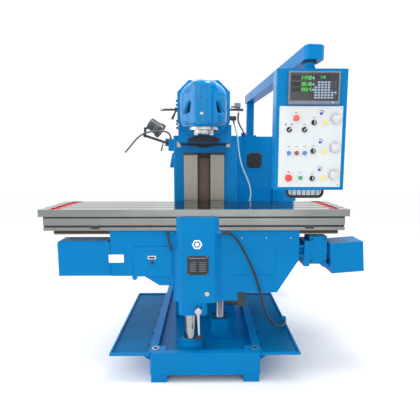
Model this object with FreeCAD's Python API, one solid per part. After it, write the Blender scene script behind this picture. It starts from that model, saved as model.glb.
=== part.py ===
import FreeCAD
import Part
import math
import os

# Ram-type universal milling machine. Millimetres, +Z up, +X right along the table, +Y to the rear.
# The origin is the centre of the foundation bolt pattern, on the floor.

# ---- overall layout -------------------------------------------------------------------------
GAP = 0.4                 # clearance between bodies that slide past each other
FIT = 0.05                # radial clearance of a running fit
CORD_GAP = 1.0            # between a cord's end and what it goes into
BASE_HALF_WIDTH = 362.0
BASE_FRONT = -707.0
BASE_REAR = 708.0
FOOT_HEIGHT = 53.0
FOOT_WIDTH = 112.0
FOOT_LENGTH = 150.0
RIM_TOP = 206.0
RIM_WIDTH = 44.0
DECK_TOP = 160.0
BASE_WALL = 36.0
BOLT_X = 330.0            # half the foundation pattern's width
BOLT_Y = 640.0            # half the foundation pattern's length
BOLT_HOLE_R = 15.0
PAD_SIZE = 100.0

TRAY_REACH = 622.0
TRAY_REAR = 410.0
TRAY_THICK = 17.0
TRAY_DEPTH = 11.0
TRAY_RIM = 12.0

COLUMN_LEFT = -245.0
COLUMN_RIGHT = 250.0
COLUMN_FRONT = -42.0
COLUMN_REAR = 620.0
COLUMN_TOP = 1575.0
COLUMN_WALL = 38.0
CHEEK_TOP = 1636.0
WAY_FRONT = -60.0
WAY_TOP = 1503.0
WAY_BOTTOM = 330.0
LEFT_WAY = (-164.0, -58.0)
RIGHT_WAY = (43.0, 150.0)

TABLE_LENGTH = 2000.0
TABLE_WIDTH = 500.0
TABLE_TOP = 1134.0
TABLE_CENTRE_X = -66.0
TABLE_CENTRE_Y = -369.0
SLOT_WIDTH = 18.0
SLOT_PITCH = 100.0
SLOT_COUNT = 4

KNEE_HALF_WIDTH = 620.0
KNEE_FRONT = -602.0
KNEE_REAR = WAY_FRONT - GAP
WING_REAR = -136.0
KNEE_TOP = 998.0 - GAP
WING_BOTTOM = 689.0

POST_X = -99.0
POST_Y = -565.0
POST_R = 45.0
POST_TOP = 860.0
POST_BORE_TOP = 945.0
SOCKET_R = 78.0
SOCKET_TOP = 239.0
SCREW_X = 108.0
SCREW_Y = -352.0
SCREW_R = 25.0
SCREW_TOP = 880.0
PEDESTAL_R = 65.0
PEDESTAL_TOP = 304.0

HEAD_X = -8.0
HEAD_Z = 1805.0
HEAD_Y = -492.0
HEAD_R = 160.0
HEAD_TOP_R = 86.0
CAP_HEIGHT = 16.0
HEAD_TOP = 1937.0
HEAD_BOTTOM = 1657.0
FLANGE_FRONT = -292.0
FLANGE_REAR = -232.0
FLANGE_HALF = 185.0
FLANGE_CHAMFER = 80.0
RAM_REAR = 640.0
RAM_Z = 1815.0
RAM_HALF = 158.0
RAM_CHAMFER = 60.0
SPINDLE_R = 50.0
NOSE_R = 128.57 / 2
NOSE_FACE = 1620.0
NOSE_TOP = 1641.0
GAUGE_R = 69.85 / 2
TAPER_DEPTH = 101.8
NOSE_PCD = 101.6
NOSE_HOLE_R = 8.0
KEY_HALF = 12.7

CABINET = (310.0, 868.0, 650.0, 1030.0, 450.0, 1672.0)
CABINET_WALL = 12.0
DOOR_LEFT = 655.0
DOOR_THICK = 22.0
HINGE_X = CABINET[1] + 10.0
HINGE_Y = CABINET[2] - 10.0
HINGE_R = 7.5
HINGE_PIN_R = 4.0
HINGE_HEIGHT = 28.0
HINGE_Z = (560.0, 1030.0, 1500.0)

PENDANT_POST_X = 450.0
PENDANT_POST_Y = 818.0
PENDANT_X = 597.0
PENDANT_Y = -765.0
ARM_BOTTOM = 2007.0
ARM_HEIGHT = 80.0
ARM_WIDTH = 85.0
BOX_LEFT = 405.0
BOX_RIGHT = 809.0
BOX_FRONT = -819.0
BOX_REAR = -700.0
BOX_BOTTOM = 1275.0
BOX_TOP = 1957.0
BOX_WALL = 5.0
PANEL = (424.0, 785.0, 1293.0, 1751.0)
PANEL_THICK = 3.0
PANEL_FACE = BOX_FRONT - PANEL_THICK
READOUT = (469.0, 758.0, 1759.0, 1938.0)
READOUT_DEPTH = 16.0

X_AXIS = FreeCAD.Vector(1, 0, 0)
Y_AXIS = FreeCAD.Vector(0, 1, 0)
Z_AXIS = FreeCAD.Vector(0, 0, 1)


def vec(x, y, z):
    return FreeCAD.Vector(x, y, z)


def block(x0, x1, y0, y1, z0, z1):
    """A box between two corners."""
    return Part.makeBox(x1 - x0, y1 - y0, z1 - z0, vec(x0, y0, z0))


def plan_block(xs, ys, z0, z1):
    """A box over two x and two y values, each pair in either order."""
    return block(min(xs), max(xs), min(ys), max(ys), z0, z1)


def around(x, y, half_x, half_y, z0, z1):
    """A box centred on an upright line."""
    return block(x - half_x, x + half_x, y - half_y, y + half_y, z0, z1)


def rod(start, end, radius):
    """A round bar from one point to another."""
    along = vec(*end) - vec(*start)
    return Part.makeCylinder(radius, along.Length, vec(*start), along)


def pillar(x, y, z0, z1, radius):
    """An upright round bar between two heights."""
    return rod((x, y, z0), (x, y, z1), radius)


def bar_y(x, z, y0, y1, radius):
    """A round bar running front to rear."""
    return rod((x, y0, z), (x, y1, z), radius)


def bar_x(y, z, x0, x1, radius):
    """A round bar running left to right."""
    return rod((x0, y, z), (x1, y, z), radius)


def taper(start, end, radius_start, radius_end):
    """A cone frustum from one point to another."""
    along = vec(*end) - vec(*start)
    return Part.makeCone(radius_start, radius_end, along.Length, vec(*start), along)


def prism(corners, direction):
    """A polygon carried along a straight direction."""
    ring = [vec(*c) for c in corners]
    face = Part.Face(Part.makePolygon(ring + [ring[0]]))
    return face.extrude(direction)


def prism_y(points_xz, y0, y1):
    return prism([(x, y0, z) for x, z in points_xz], vec(0, y1 - y0, 0))


def prism_z(points_xy, z0, z1):
    return prism([(x, y, z0) for x, y in points_xy], vec(0, 0, z1 - z0))


def prism_x(points_yz, x0, x1):
    return prism([(x0, y, z) for y, z in points_yz], vec(x1 - x0, 0, 0))


def lathe(profile_rz, x, y):
    """A closed radius-height profile turned about a vertical axis."""
    ring = [vec(x + r, y, z) for r, z in profile_rz]
    face = Part.Face(Part.makePolygon(ring + [ring[0]]))
    return face.revolve(vec(x, y, 0), Z_AXIS, 360)


def join(*shapes):
    whole = shapes[0]
    for other in shapes[1:]:
        whole = whole.fuse(other)
    return whole.removeSplitter()


def round_edges(shape, radius, chosen):
    """Fillet the edges that a test picks."""
    return shape.makeFillet(radius, [e for e in shape.Edges if chosen(e)])


def lies_at(edge, axis, value):
    """True when the whole edge is at one coordinate."""
    box = edge.BoundBox
    low, high = {"x": (box.XMin, box.XMax), "y": (box.YMin, box.YMax), "z": (box.ZMin, box.ZMax)}[axis]
    return abs(low - value) < 0.01 and abs(high - value) < 0.01


def runs_along(edge, axis, least=20.0):
    """True for a straight edge along one axis."""
    box = edge.BoundBox
    spans = {"x": box.XLength, "y": box.YLength, "z": box.ZLength}
    longest = spans.pop(axis)
    return longest > least and max(spans.values()) < 0.01


def export(name, *solids):
    """Write one node, as one solid or a group of separate ones."""
    shape = solids[0] if len(solids) == 1 else Part.makeCompound(list(solids))
    shape.exportStep("parts/" + name + ".step")


def cord(name, points, radius):
    """A round cord along straight runs joined by tangent arcs, and its length."""
    route = [vec(*p) for p in points]
    edges = []
    radii = []
    start = route[0]
    for before, corner, after in zip(route, route[1:], route[2:]):
        into = (corner - before).normalize()
        out = (after - corner).normalize()
        half_turn = into.getAngle(out) / 2
        setback = 0.45 * min((corner - before).Length, (after - corner).Length)
        radii.append(setback / math.tan(half_turn))
        first = corner - into * setback
        last = corner + out * setback
        inward = (out - into).normalize()
        sagitta = radii[-1] * (1 / math.cos(half_turn) - 1)
        middle = corner + inward * sagitta
        edges.append(Part.LineSegment(start, first).toShape())
        edges.append(Part.Arc(first, middle, last).toShape())
        start = last
    edges.append(Part.LineSegment(start, route[-1]).toShape())
    path = Part.Wire(edges)
    direction = (route[1] - route[0]).normalize()
    ring = Part.Wire(Part.makeCircle(radius, route[0], direction))
    tube = path.makePipeShell([ring], True, False)
    expected = math.pi * radius ** 2 * path.Length
    print(name, "length", round(path.Length), "least radius", round(min(radii)),
          "volume share", round(tube.Volume / expected, 4))
    return tube


# ---- base -----------------------------------------------------------------------------------
def make_base():
    body = block(-BASE_HALF_WIDTH, BASE_HALF_WIDTH, BASE_FRONT, BASE_REAR, FOOT_HEIGHT, RIM_TOP)
    body = round_edges(body, 18.0, lambda e: runs_along(e, "z"))
    inner = BASE_HALF_WIDTH - RIM_WIDTH
    body = body.cut(block(-inner, inner, BASE_FRONT + RIM_WIDTH, BASE_REAR - RIM_WIDTH, DECK_TOP, RIM_TOP))
    hollow = BASE_HALF_WIDTH - FOOT_WIDTH
    body = body.cut(block(-hollow, hollow, BASE_FRONT + BASE_WALL, BASE_REAR - BASE_WALL,
                          FOOT_HEIGHT, DECK_TOP - BASE_WALL))
    solids = [body]
    cuts = []
    for side in (-1, 1):
        outer = side * BASE_HALF_WIDTH
        foot_in = side * (BASE_HALF_WIDTH - FOOT_WIDTH)
        pad_in = side * (BASE_HALF_WIDTH - PAD_SIZE)
        for end, y in ((1, BASE_FRONT), (-1, BASE_REAR)):
            far = y + end * FOOT_LENGTH
            foot_inset = 6.0
            solids.append(plan_block((outer - side * foot_inset, foot_in), (y + end * foot_inset, far),
                                     0.0, FOOT_HEIGHT))
            solids.append(plan_block((outer - side * RIM_WIDTH / 2, pad_in),
                                     (y + end * RIM_WIDTH / 2, y + end * PAD_SIZE), DECK_TOP - 1, RIM_TOP))
            cuts.append(pillar(side * BOLT_X, end * -BOLT_Y, -1, RIM_TOP + 1, BOLT_HOLE_R))
    socket = taper((POST_X, POST_Y, DECK_TOP - 1), (POST_X, POST_Y, SOCKET_TOP), SOCKET_R + 6, SOCKET_R)
    pedestal = join(pillar(SCREW_X, SCREW_Y, DECK_TOP - 1, PEDESTAL_TOP, PEDESTAL_R),
                    around(SCREW_X, SCREW_Y, 90, 60, DECK_TOP - 1, DECK_TOP + 24))
    base = join(*solids, socket, pedestal)
    for hole in cuts:
        base = base.cut(hole)
    base = base.cut(pillar(POST_X, POST_Y, DECK_TOP, RIM_TOP + 60, POST_R))
    base = base.cut(pillar(SCREW_X, SCREW_Y, DECK_TOP + 40, PEDESTAL_TOP + 1, SCREW_R))
    export("base", base)
    export("support_post", pillar(POST_X, POST_Y, DECK_TOP, POST_TOP, POST_R))
    export("lift_screw", pillar(SCREW_X, SCREW_Y, DECK_TOP + 40, SCREW_TOP, SCREW_R))


def make_tray(side):
    """A shallow chip tray beside the base: side is -1 on the left and 1 on the right."""
    inner = side * BASE_HALF_WIDTH
    outer = side * TRAY_REACH
    low, high = min(inner, outer), max(inner, outer)
    bottom = RIM_TOP - TRAY_THICK
    tray = block(low, high, BASE_FRONT, TRAY_REAR, bottom, RIM_TOP)
    pocket = block(low + TRAY_RIM, high - TRAY_RIM, BASE_FRONT + TRAY_RIM, TRAY_REAR - TRAY_RIM,
                   RIM_TOP - TRAY_DEPTH, RIM_TOP)
    tray = tray.cut(pocket)
    brace_x = (inner, inner + side * 150.0)
    for y in (BASE_FRONT + 120.0, TRAY_REAR - 120.0):
        brace = prism([(brace_x[0], y, bottom), (brace_x[1], y, bottom), (brace_x[0], y, bottom - 110)],
                      vec(0, 10, 0))
        tray = tray.fuse(brace)
    if side > 0:
        tray = tray.fuse(block(CABLE_END[0] - 18, outer, CABLE_END[1] + CORD_GAP, CABLE_END[1] + 40,
                               RIM_TOP - TRAY_DEPTH, CABLE_END[2] + 18))
    return tray.removeSplitter()


# ---- column ---------------------------------------------------------------------------------
BRACKET_X = COLUMN_LEFT - 40.0
LAMP_HUB_X = -302.0
LAMP_HUB_Y = 40.0
LAMP_HUB_LOW = 1570.0
LAMP_HUB_HIGH = 1600.0
HOSE_BOSS_Y = 96.0
HOSE_BOSS_Z = 1050.0
BRACKET_TOP = 1610.0


def make_column():
    outline = [(COLUMN_LEFT, COLUMN_FRONT), (COLUMN_RIGHT, COLUMN_FRONT),
               (COLUMN_RIGHT, COLUMN_REAR), (COLUMN_LEFT, COLUMN_REAR)]
    column = prism_z(outline, DECK_TOP, CHEEK_TOP)
    column = round_edges(column, 16.0, lambda e: runs_along(e, "z"))
    ram_seat = (COLUMN_LEFT + 52.0, COLUMN_RIGHT - 57.0)
    column = column.cut(block(ram_seat[0], ram_seat[1], COLUMN_FRONT - 1, COLUMN_REAR + 1,
                              COLUMN_TOP, CHEEK_TOP + 1))
    column = column.cut(block(COLUMN_LEFT + COLUMN_WALL, COLUMN_RIGHT - COLUMN_WALL, COLUMN_FRONT + 70,
                              COLUMN_REAR - COLUMN_WALL, DECK_TOP, COLUMN_TOP - 60))
    column = column.cut(block(LEFT_WAY[1], RIGHT_WAY[0], COLUMN_FRONT - 1, COLUMN_FRONT + 40,
                              WAY_BOTTOM, WAY_TOP))
    recess_r = 150.0
    column = column.cut(bar_y(HEAD_X, COLUMN_TOP + 118, COLUMN_FRONT - 1, COLUMN_FRONT + 46, recess_r))
    plate_half = 16.0
    lamp_plates = []
    for z0, z1 in ((LAMP_HUB_LOW - 10.0, LAMP_HUB_LOW - GAP), (LAMP_HUB_HIGH + GAP, BRACKET_TOP)):
        lamp_plates.append(block(LAMP_HUB_X, BRACKET_X, LAMP_HUB_Y - plate_half, LAMP_HUB_Y + plate_half,
                                 z0, z1))
        lamp_plates.append(pillar(LAMP_HUB_X, LAMP_HUB_Y, z0, z1, plate_half))
    pin = pillar(LAMP_HUB_X, LAMP_HUB_Y, LAMP_HUB_LOW - 10.0, BRACKET_TOP, 6.0)
    mount_block = block(BRACKET_X, COLUMN_LEFT + 1, -30.0, 80.0, 1520.0, BRACKET_TOP)
    gusset = prism([(COLUMN_LEFT + 1, -20.0, 1505.0), (COLUMN_LEFT + 1, -20.0, 1390.0),
                    (COLUMN_LEFT - 32, -20.0, 1390.0), (COLUMN_LEFT - 10, -20.0, 1505.0)], vec(0, 60, 0))
    boss = bar_x(HOSE_BOSS_Y, HOSE_BOSS_Z, COLUMN_RIGHT - 1, COLUMN_RIGHT + 12, 13.0)
    export("column", join(column, mount_block, gusset, boss, pin, *lamp_plates))
    ways = [block(x0, x1, WAY_FRONT, COLUMN_FRONT, WAY_BOTTOM, WAY_TOP) for x0, x1 in (LEFT_WAY, RIGHT_WAY)]
    export("column_ways", *ways)


# ---- knee -----------------------------------------------------------------------------------
NOSE_LEFT = -186.0
NOSE_LEFT_LOW = -198.0
NOSE_RIGHT = 99.0
NOSE_FRONT = -647.0
NOSE_PLATE_REAR = -621.0
NOSE_PLATE_TOP = 1087.0
NOSE_SHOULDER = 974.0
NOSE_BOTTOM = 521.0
FACET_LEFT = -150.0
FACET_RIGHT = 58.0
FOOT_BLOCK_BOTTOM = 435.0
CENTRAL_LEFT = -211.0
CENTRAL_RIGHT = 215.0
CENTRAL_BOTTOM = 521.0
DOVETAIL_INSET = 60.0
DOVETAIL_BOTTOM = 962.0
CHANNEL_HALF = 31.0
TABLE_SCREW_R = 18.0
TABLE_SCREW_Z = 985.0
CLAMP_X = -45.0
CLAMP_Z = 479.0
LOCK_X = -242.0
LOCK_Z = 973.0


def nose_outline(left, rear):
    """The chamfered outline of the housing in front of the knee, seen from above."""
    return [(left, rear), (left, NOSE_FRONT + 41), (FACET_LEFT, NOSE_FRONT), (FACET_RIGHT, NOSE_FRONT),
            (NOSE_RIGHT, NOSE_FRONT + 41), (NOSE_RIGHT, rear)]


def make_knee():
    top = KNEE_TOP
    profile = [(-KNEE_HALF_WIDTH, top), (-KNEE_HALF_WIDTH, WING_BOTTOM), (-405, WING_BOTTOM), (-302, 624),
               (CENTRAL_LEFT, 624), (CENTRAL_LEFT, CENTRAL_BOTTOM), (CENTRAL_RIGHT, CENTRAL_BOTTOM),
               (CENTRAL_RIGHT, 573), (480, 573), (600, 764), (KNEE_HALF_WIDTH, 790), (KNEE_HALF_WIDTH, top)]
    knee = prism_y(profile, KNEE_FRONT, WING_REAR)
    knee = round_edges(knee, 10.0, lambda e: lies_at(e, "y", KNEE_FRONT) and e.BoundBox.ZMin > 560)
    knee = knee.fuse(block(CENTRAL_LEFT, CENTRAL_RIGHT, WING_REAR, KNEE_REAR, CENTRAL_BOTTOM, top))
    dove_front = TABLE_CENTRE_Y - TABLE_WIDTH / 2 + DOVETAIL_INSET - GAP
    dove_rear = TABLE_CENTRE_Y + TABLE_WIDTH / 2 - DOVETAIL_INSET + GAP
    knee = knee.cut(block(-KNEE_HALF_WIDTH - 1, KNEE_HALF_WIDTH + 1, dove_front, dove_rear,
                          DOVETAIL_BOTTOM - GAP, top + 1))
    for x0, x1 in ((-KNEE_HALF_WIDTH + 40, CENTRAL_LEFT - 30), (CENTRAL_RIGHT + 30, KNEE_HALF_WIDTH - 40)):
        knee = knee.cut(block(x0, x1, KNEE_FRONT + 30, WING_REAR - 30, 810.0, DOVETAIL_BOTTOM - 40))
    knee = knee.cut(block(CENTRAL_LEFT + 40, CENTRAL_RIGHT - 40, SCREW_Y + 60, KNEE_REAR - 40,
                          CENTRAL_BOTTOM + 40, 900))
    nut_half = CHANNEL_HALF - 5
    nut = block(-70, 70, TABLE_CENTRE_Y - nut_half, TABLE_CENTRE_Y + nut_half, DOVETAIL_BOTTOM - 10, 1008)
    nut = nut.cut(bar_x(TABLE_CENTRE_Y, TABLE_SCREW_Z, -71, 71, TABLE_SCREW_R + GAP))
    knee = knee.fuse(nut)
    knee = knee.cut(bar_x(TABLE_CENTRE_Y, TABLE_SCREW_Z, -75, -70, 25))
    knee = knee.cut(pillar(POST_X, POST_Y, CENTRAL_BOTTOM - 1, POST_BORE_TOP, POST_R + GAP))
    knee = knee.cut(pillar(SCREW_X, SCREW_Y, CENTRAL_BOTTOM - 1, 948, SCREW_R + GAP))
    knee = knee.cut(block(167, 465, KNEE_FRONT - 1, KNEE_FRONT + 3, 693, 887))
    export("knee_casting", knee.removeSplitter())

    nose = prism_z(nose_outline(NOSE_LEFT_LOW, KNEE_FRONT), NOSE_BOTTOM, NOSE_SHOULDER)
    plate = prism_z([(NOSE_LEFT, NOSE_PLATE_REAR), (FACET_LEFT, NOSE_FRONT), (FACET_RIGHT, NOSE_FRONT),
                     (NOSE_RIGHT - 8, NOSE_PLATE_REAR)], NOSE_SHOULDER, NOSE_PLATE_TOP)
    foot = prism_z([(-175, -507), (-175, -625), (-150, -647), (-10, -647), (13, -625), (13, -507)],
                   FOOT_BLOCK_BOTTOM, NOSE_BOTTOM)
    gland = bar_x(CABLE_START[1], CABLE_START[2], FACET_RIGHT + 12, CABLE_START[0] - GAP, 11.0)
    nose = join(nose, plate, foot, gland)
    nose = nose.cut(pillar(POST_X, POST_Y, FOOT_BLOCK_BOTTOM - 1, POST_BORE_TOP, POST_R + GAP))
    export("knee_nose", nose)

    cover = block(-465, -215, KNEE_FRONT - 7, KNEE_FRONT, WING_BOTTOM, WING_BOTTOM + 200)
    cover = round_edges(cover, 4.0, lambda e: lies_at(e, "y", KNEE_FRONT - 7))
    lug = bar_y(-462, 684, KNEE_FRONT - 9, KNEE_FRONT, 17.0)
    gauge = bar_y(-347, 784, KNEE_FRONT - 12, KNEE_FRONT - 7, 11.5)
    export("gauge_cover", join(cover, lug, gauge))


def make_drives():
    left = prism_y([(-962, 693), (-962, 915), (-952, 925), (-640, 925), (-KNEE_HALF_WIDTH, 915),
                    (-KNEE_HALF_WIDTH, 693)], KNEE_FRONT + 2, -457)
    left = round_edges(left, 6.0, lambda e: lies_at(e, "y", KNEE_FRONT + 2) and e.BoundBox.XMax < -630)
    export("left_drive_box", left)

    plate = block(654, 690, KNEE_FRONT + 6, -450, 751, 921)
    box = block(690, 803, KNEE_FRONT + 12, -445, 764, 952)
    box = round_edges(box, 8.0, lambda e: runs_along(e, "x"))
    arms = [bar_x(y, z, KNEE_HALF_WIDTH, 654, 9.0) for z in (820, 885) for y in (-580, -480)]
    shaft_cover = bar_x(-525, 850, KNEE_HALF_WIDTH, 654, 40.0)
    foot = block(786, 826, KNEE_FRONT + 20, -470, 741, 764)
    export("right_gearbox", join(plate, box, shaft_cover, foot, *arms))

    collar = bar_x(-520, 850, 803, 826, 48.0)
    motor = block(826, 1043, -606, -436, 712, 914)
    motor = round_edges(motor, 6.0, lambda e: runs_along(e, "y"))
    motor.rotate(vec(934, 0, 813), Y_AXIS, -4.5)
    export("right_motor_box", join(collar, motor))

    body = bar_x(-467, 476, 145, 228, 38.0)
    flange = block(222, 283, -507, -430, 440, 573)
    end_cap = bar_x(-467, 476, 137, 145, 30.0)
    export("lift_motor", join(body, flange, end_cap))


def make_levers():
    hub = bar_y(CLAMP_X, CLAMP_Z, NOSE_FRONT - GAP, NOSE_FRONT - 48, 26.0)
    arm = taper((CLAMP_X, -683, CLAMP_Z - 16), (CLAMP_X + 5, -683, 312), 12.0, 7.0)
    ball = Part.makeSphere(19.5, vec(CLAMP_X + 5, -683, 301))
    export("post_clamp_lever", join(hub, arm, ball))
    lock_y = KNEE_FRONT - 20
    lock_hub = bar_y(LOCK_X, LOCK_Z, KNEE_FRONT - GAP, KNEE_FRONT - 26, 11.0)
    lock_arm = taper((LOCK_X, lock_y, LOCK_Z - 4), (LOCK_X + 18, lock_y, LOCK_Z - 98), 5.0, 7.0)
    knob = Part.makeSphere(9.0, vec(LOCK_X + 18, lock_y, LOCK_Z - 98))
    export("knee_lock_lever", join(lock_hub, lock_arm, knob))


# ---- table ----------------------------------------------------------------------------------
def make_table():
    left = TABLE_CENTRE_X - TABLE_LENGTH / 2
    right = TABLE_CENTRE_X + TABLE_LENGTH / 2
    front = TABLE_CENTRE_Y - TABLE_WIDTH / 2
    rear = TABLE_CENTRE_Y + TABLE_WIDTH / 2
    inset = 29.0
    layers = [(left, right, 0.0, 1088.5, TABLE_TOP),
              (left + inset, right - inset, 8.0, 1077.0, 1088.5),
              (left + inset, right - inset, 2.0, 1032.0, 1077.0),
              (left + inset, right - inset, 12.0, 1019.0, 1032.0),
              (left + inset, right - inset, 2.0, 998.0, 1019.0),
              (left + 71, right - 51, DOVETAIL_INSET, DOVETAIL_BOTTOM, 998.0)]
    table = join(*[block(x0, x1, front + step, rear - step, z0, z1) for x0, x1, step, z0, z1 in layers])
    cutters = []
    slot_half = SLOT_WIDTH / 2
    slot_floor = TABLE_TOP - 32
    for index in range(SLOT_COUNT):
        y = TABLE_CENTRE_Y + (index - (SLOT_COUNT - 1) / 2) * SLOT_PITCH
        cutters.append(block(left - 1, right + 1, y - slot_half, y + slot_half, slot_floor, TABLE_TOP + 1))
        cutters.append(block(left - 1, right + 1, y - slot_half - 6, y + slot_half + 6,
                             slot_floor, TABLE_TOP - 18))
    trough_floor = TABLE_TOP - 8.0
    troughs = [(left + 60, left + 134), (right - 124, right - 60)]
    end_land = 14.0
    for x0, x1 in troughs:
        table = table.cut(block(x0, x1, front + end_land, rear - end_land, trough_floor, TABLE_TOP + 1))
    for cutter in cutters:
        table = table.cut(cutter)
    screw_ends = (left + 100, right - 80)
    table = table.cut(block(screw_ends[0], screw_ends[1], TABLE_CENTRE_Y - CHANNEL_HALF,
                            TABLE_CENTRE_Y + CHANNEL_HALF, DOVETAIL_BOTTOM - 1, 1012))
    export("table", table)
    liners = []
    for x0, x1 in troughs:
        liner = block(x0, x1, front + end_land, rear - end_land, trough_floor, trough_floor + 2)
        for cutter in cutters:
            liner = liner.cut(cutter)
        liners.extend(liner.Solids)
    export("end_troughs", *liners)
    dogs = [block(x0, x0 + 56, front + 0.5, front + 12, 1008, 1031) for x0 in (-735, 648)]
    dogs = [dog.cut(block(-2000, 2000, front + 2, front + 13, 1000, 1019)) for dog in dogs]
    export("stop_dogs", *dogs)
    export("table_screw", bar_x(TABLE_CENTRE_Y, TABLE_SCREW_Z, screw_ends[0], screw_ends[1], TABLE_SCREW_R))


# ---- ram, head and spindle ------------------------------------------------------------------
def octagon(half, chamfer, centre_x, centre_z):
    near = half - chamfer
    ring = [(near, half), (half, near), (half, -near), (near, -half),
            (-near, -half), (-half, -near), (-half, near), (-near, half)]
    return [(centre_x + x, centre_z + z) for x, z in ring]


SHAFT_Y = (FLANGE_FRONT + FLANGE_REAR) / 2
SHAFT_Z = 1803.0
SHAFT_R = 7.5


def make_ram():
    flange = prism_y(octagon(FLANGE_HALF, FLANGE_CHAMFER, HEAD_X, RAM_Z), FLANGE_FRONT, FLANGE_REAR)
    body = prism_y(octagon(RAM_HALF, RAM_CHAMFER, HEAD_X, RAM_Z), FLANGE_REAR, RAM_REAR)
    seat_half = (COLUMN_RIGHT - 57.0 - (COLUMN_LEFT + 52.0)) / 2 - GAP
    seat_x = (COLUMN_RIGHT - 57.0 + COLUMN_LEFT + 52.0) / 2
    seat = block(seat_x - seat_half, seat_x + seat_half, FLANGE_REAR, RAM_REAR, COLUMN_TOP + GAP, 1700.0)
    seat = seat.cut(bar_y(HEAD_X, COLUMN_TOP - 20, FLANGE_REAR - 1, FLANGE_REAR + 150, 92.0))
    ram = join(flange, body, seat)
    ram = ram.cut(block(HEAD_X - 110, HEAD_X + 110, FLANGE_REAR + 30, RAM_REAR - 40, 1730.0, 1920.0))
    ram = ram.cut(bar_x(SHAFT_Y, SHAFT_Z, -400, 400, SHAFT_R + FIT))
    export("ram", ram)
    motor = join(bar_y(HEAD_X, HEAD_Z, RAM_REAR, RAM_REAR + 24, 140.0),
                 bar_y(HEAD_X, HEAD_Z, RAM_REAR + 24, RAM_REAR + 290, 112.0),
                 block(HEAD_X - 60, HEAD_X + 60, RAM_REAR + 80, RAM_REAR + 190, HEAD_Z + 80, HEAD_Z + 150))
    export("spindle_motor", motor)
    shaft = bar_x(SHAFT_Y, SHAFT_Z, -317, 273, SHAFT_R)
    lever_hub = bar_x(SHAFT_Y, SHAFT_Z, -214, -196, 15.0)
    lever = taper((-205, SHAFT_Y - 8, SHAFT_Z - 8), (-228, SHAFT_Y - 26, SHAFT_Z - 62), 5.0, 9.0)
    lever_end = Part.makeSphere(10.0, vec(-228, SHAFT_Y - 26, SHAFT_Z - 62))
    end_knob = bar_x(SHAFT_Y, SHAFT_Z, 250, 273, 10.0)
    export("cross_shaft", join(shaft, lever_hub, lever, lever_end, end_knob))


def make_head():
    flange_rear = FLANGE_FRONT - GAP
    flange = bar_y(HEAD_X, HEAD_Z, flange_rear, flange_rear - 46, HEAD_R)
    neck = bar_y(HEAD_X, HEAD_Z, flange_rear - 40, flange_rear - 120, 126.0)
    waist = HEAD_R - 5.0
    barrel = lathe([(0, HEAD_BOTTOM), (104, HEAD_BOTTOM), (waist - 17, HEAD_BOTTOM + 18),
                    (waist - 3, HEAD_BOTTOM + 48), (waist, HEAD_BOTTOM + 120),
                    (waist - 2, HEAD_TOP - 92), (waist - 20, HEAD_TOP - 46),
                    (waist - 44, HEAD_TOP - 16), (HEAD_TOP_R, HEAD_TOP), (0, HEAD_TOP)], HEAD_X, HEAD_Y)
    lobe = pillar(HEAD_X, HEAD_Y - 72, HEAD_BOTTOM + 10, HEAD_TOP - 14, 84.0)
    top = pillar(HEAD_X, HEAD_Y, HEAD_TOP - 30, HEAD_TOP, HEAD_TOP_R)
    base = pillar(HEAD_X, HEAD_Y, HEAD_BOTTOM, HEAD_BOTTOM + 30, 104.0)
    head = join(flange, neck, barrel, lobe, top, base)
    head = head.cut(pillar(HEAD_X, HEAD_Y, HEAD_BOTTOM - 1, HEAD_TOP - 4, SPINDLE_R + GAP))
    bearing_spans = ((HEAD_BOTTOM + 26, HEAD_BOTTOM + 66), (HEAD_TOP - 47, HEAD_TOP - 17))
    bearings = []
    for z0, z1 in bearing_spans:
        head = head.cut(pillar(HEAD_X, HEAD_Y, z0, z1, 76.0))
        ring = pillar(HEAD_X, HEAD_Y, z0, z1, 76.0)
        bearings.append(ring.cut(pillar(HEAD_X, HEAD_Y, z0 - 1, z1 + 1, SPINDLE_R + FIT)))
    export("head_casting", head)
    export("spindle_bearings", *bearings)
    cap = pillar(HEAD_X, HEAD_Y, HEAD_TOP, HEAD_TOP + CAP_HEIGHT, HEAD_TOP_R - 8)
    export("head_cap", round_edges(cap, 6.0, lambda e: lies_at(e, "z", HEAD_TOP + CAP_HEIGHT)))
    ring = pillar(HEAD_X, HEAD_Y, NOSE_TOP + GAP, HEAD_BOTTOM, 94.0)
    ring = ring.cut(pillar(HEAD_X, HEAD_Y, NOSE_TOP - 1, HEAD_BOTTOM + 1, SPINDLE_R + GAP))
    ring = ring.cut(pillar(HEAD_X, HEAD_Y, NOSE_TOP - 1, NOSE_TOP + 9, NOSE_PCD / 2 + NOSE_HOLE_R + 2))
    export("spindle_ring", ring)


def make_spindle():
    top = HEAD_TOP - 12.0
    spindle = join(pillar(HEAD_X, HEAD_Y, NOSE_FACE, NOSE_TOP, NOSE_R),
                   pillar(HEAD_X, HEAD_Y, NOSE_TOP, top, SPINDLE_R))
    small_r = GAUGE_R - TAPER_DEPTH * 7 / 48
    spindle = spindle.cut(taper((HEAD_X, HEAD_Y, NOSE_FACE), (HEAD_X, HEAD_Y, NOSE_FACE + TAPER_DEPTH),
                                GAUGE_R, small_r))
    spindle = spindle.cut(pillar(HEAD_X, HEAD_Y, NOSE_FACE, top + 1, 12.5))
    for quarter in range(4):
        angle = math.radians(45 + 90 * quarter)
        x = HEAD_X + NOSE_PCD / 2 * math.cos(angle)
        y = HEAD_Y + NOSE_PCD / 2 * math.sin(angle)
        spindle = spindle.cut(pillar(x, y, NOSE_FACE, NOSE_FACE + 25, NOSE_HOLE_R))
    keys = []
    for side in (-1, 1):
        x = HEAD_X + side * 51.0
        spindle = spindle.cut(around(x, HEAD_Y, 12, KEY_HALF, NOSE_FACE - 1, NOSE_FACE + 10))
        keys.append(around(x, HEAD_Y, 12, KEY_HALF, NOSE_FACE - 10, NOSE_FACE + 10))
    export("spindle", spindle, *keys)


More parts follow.
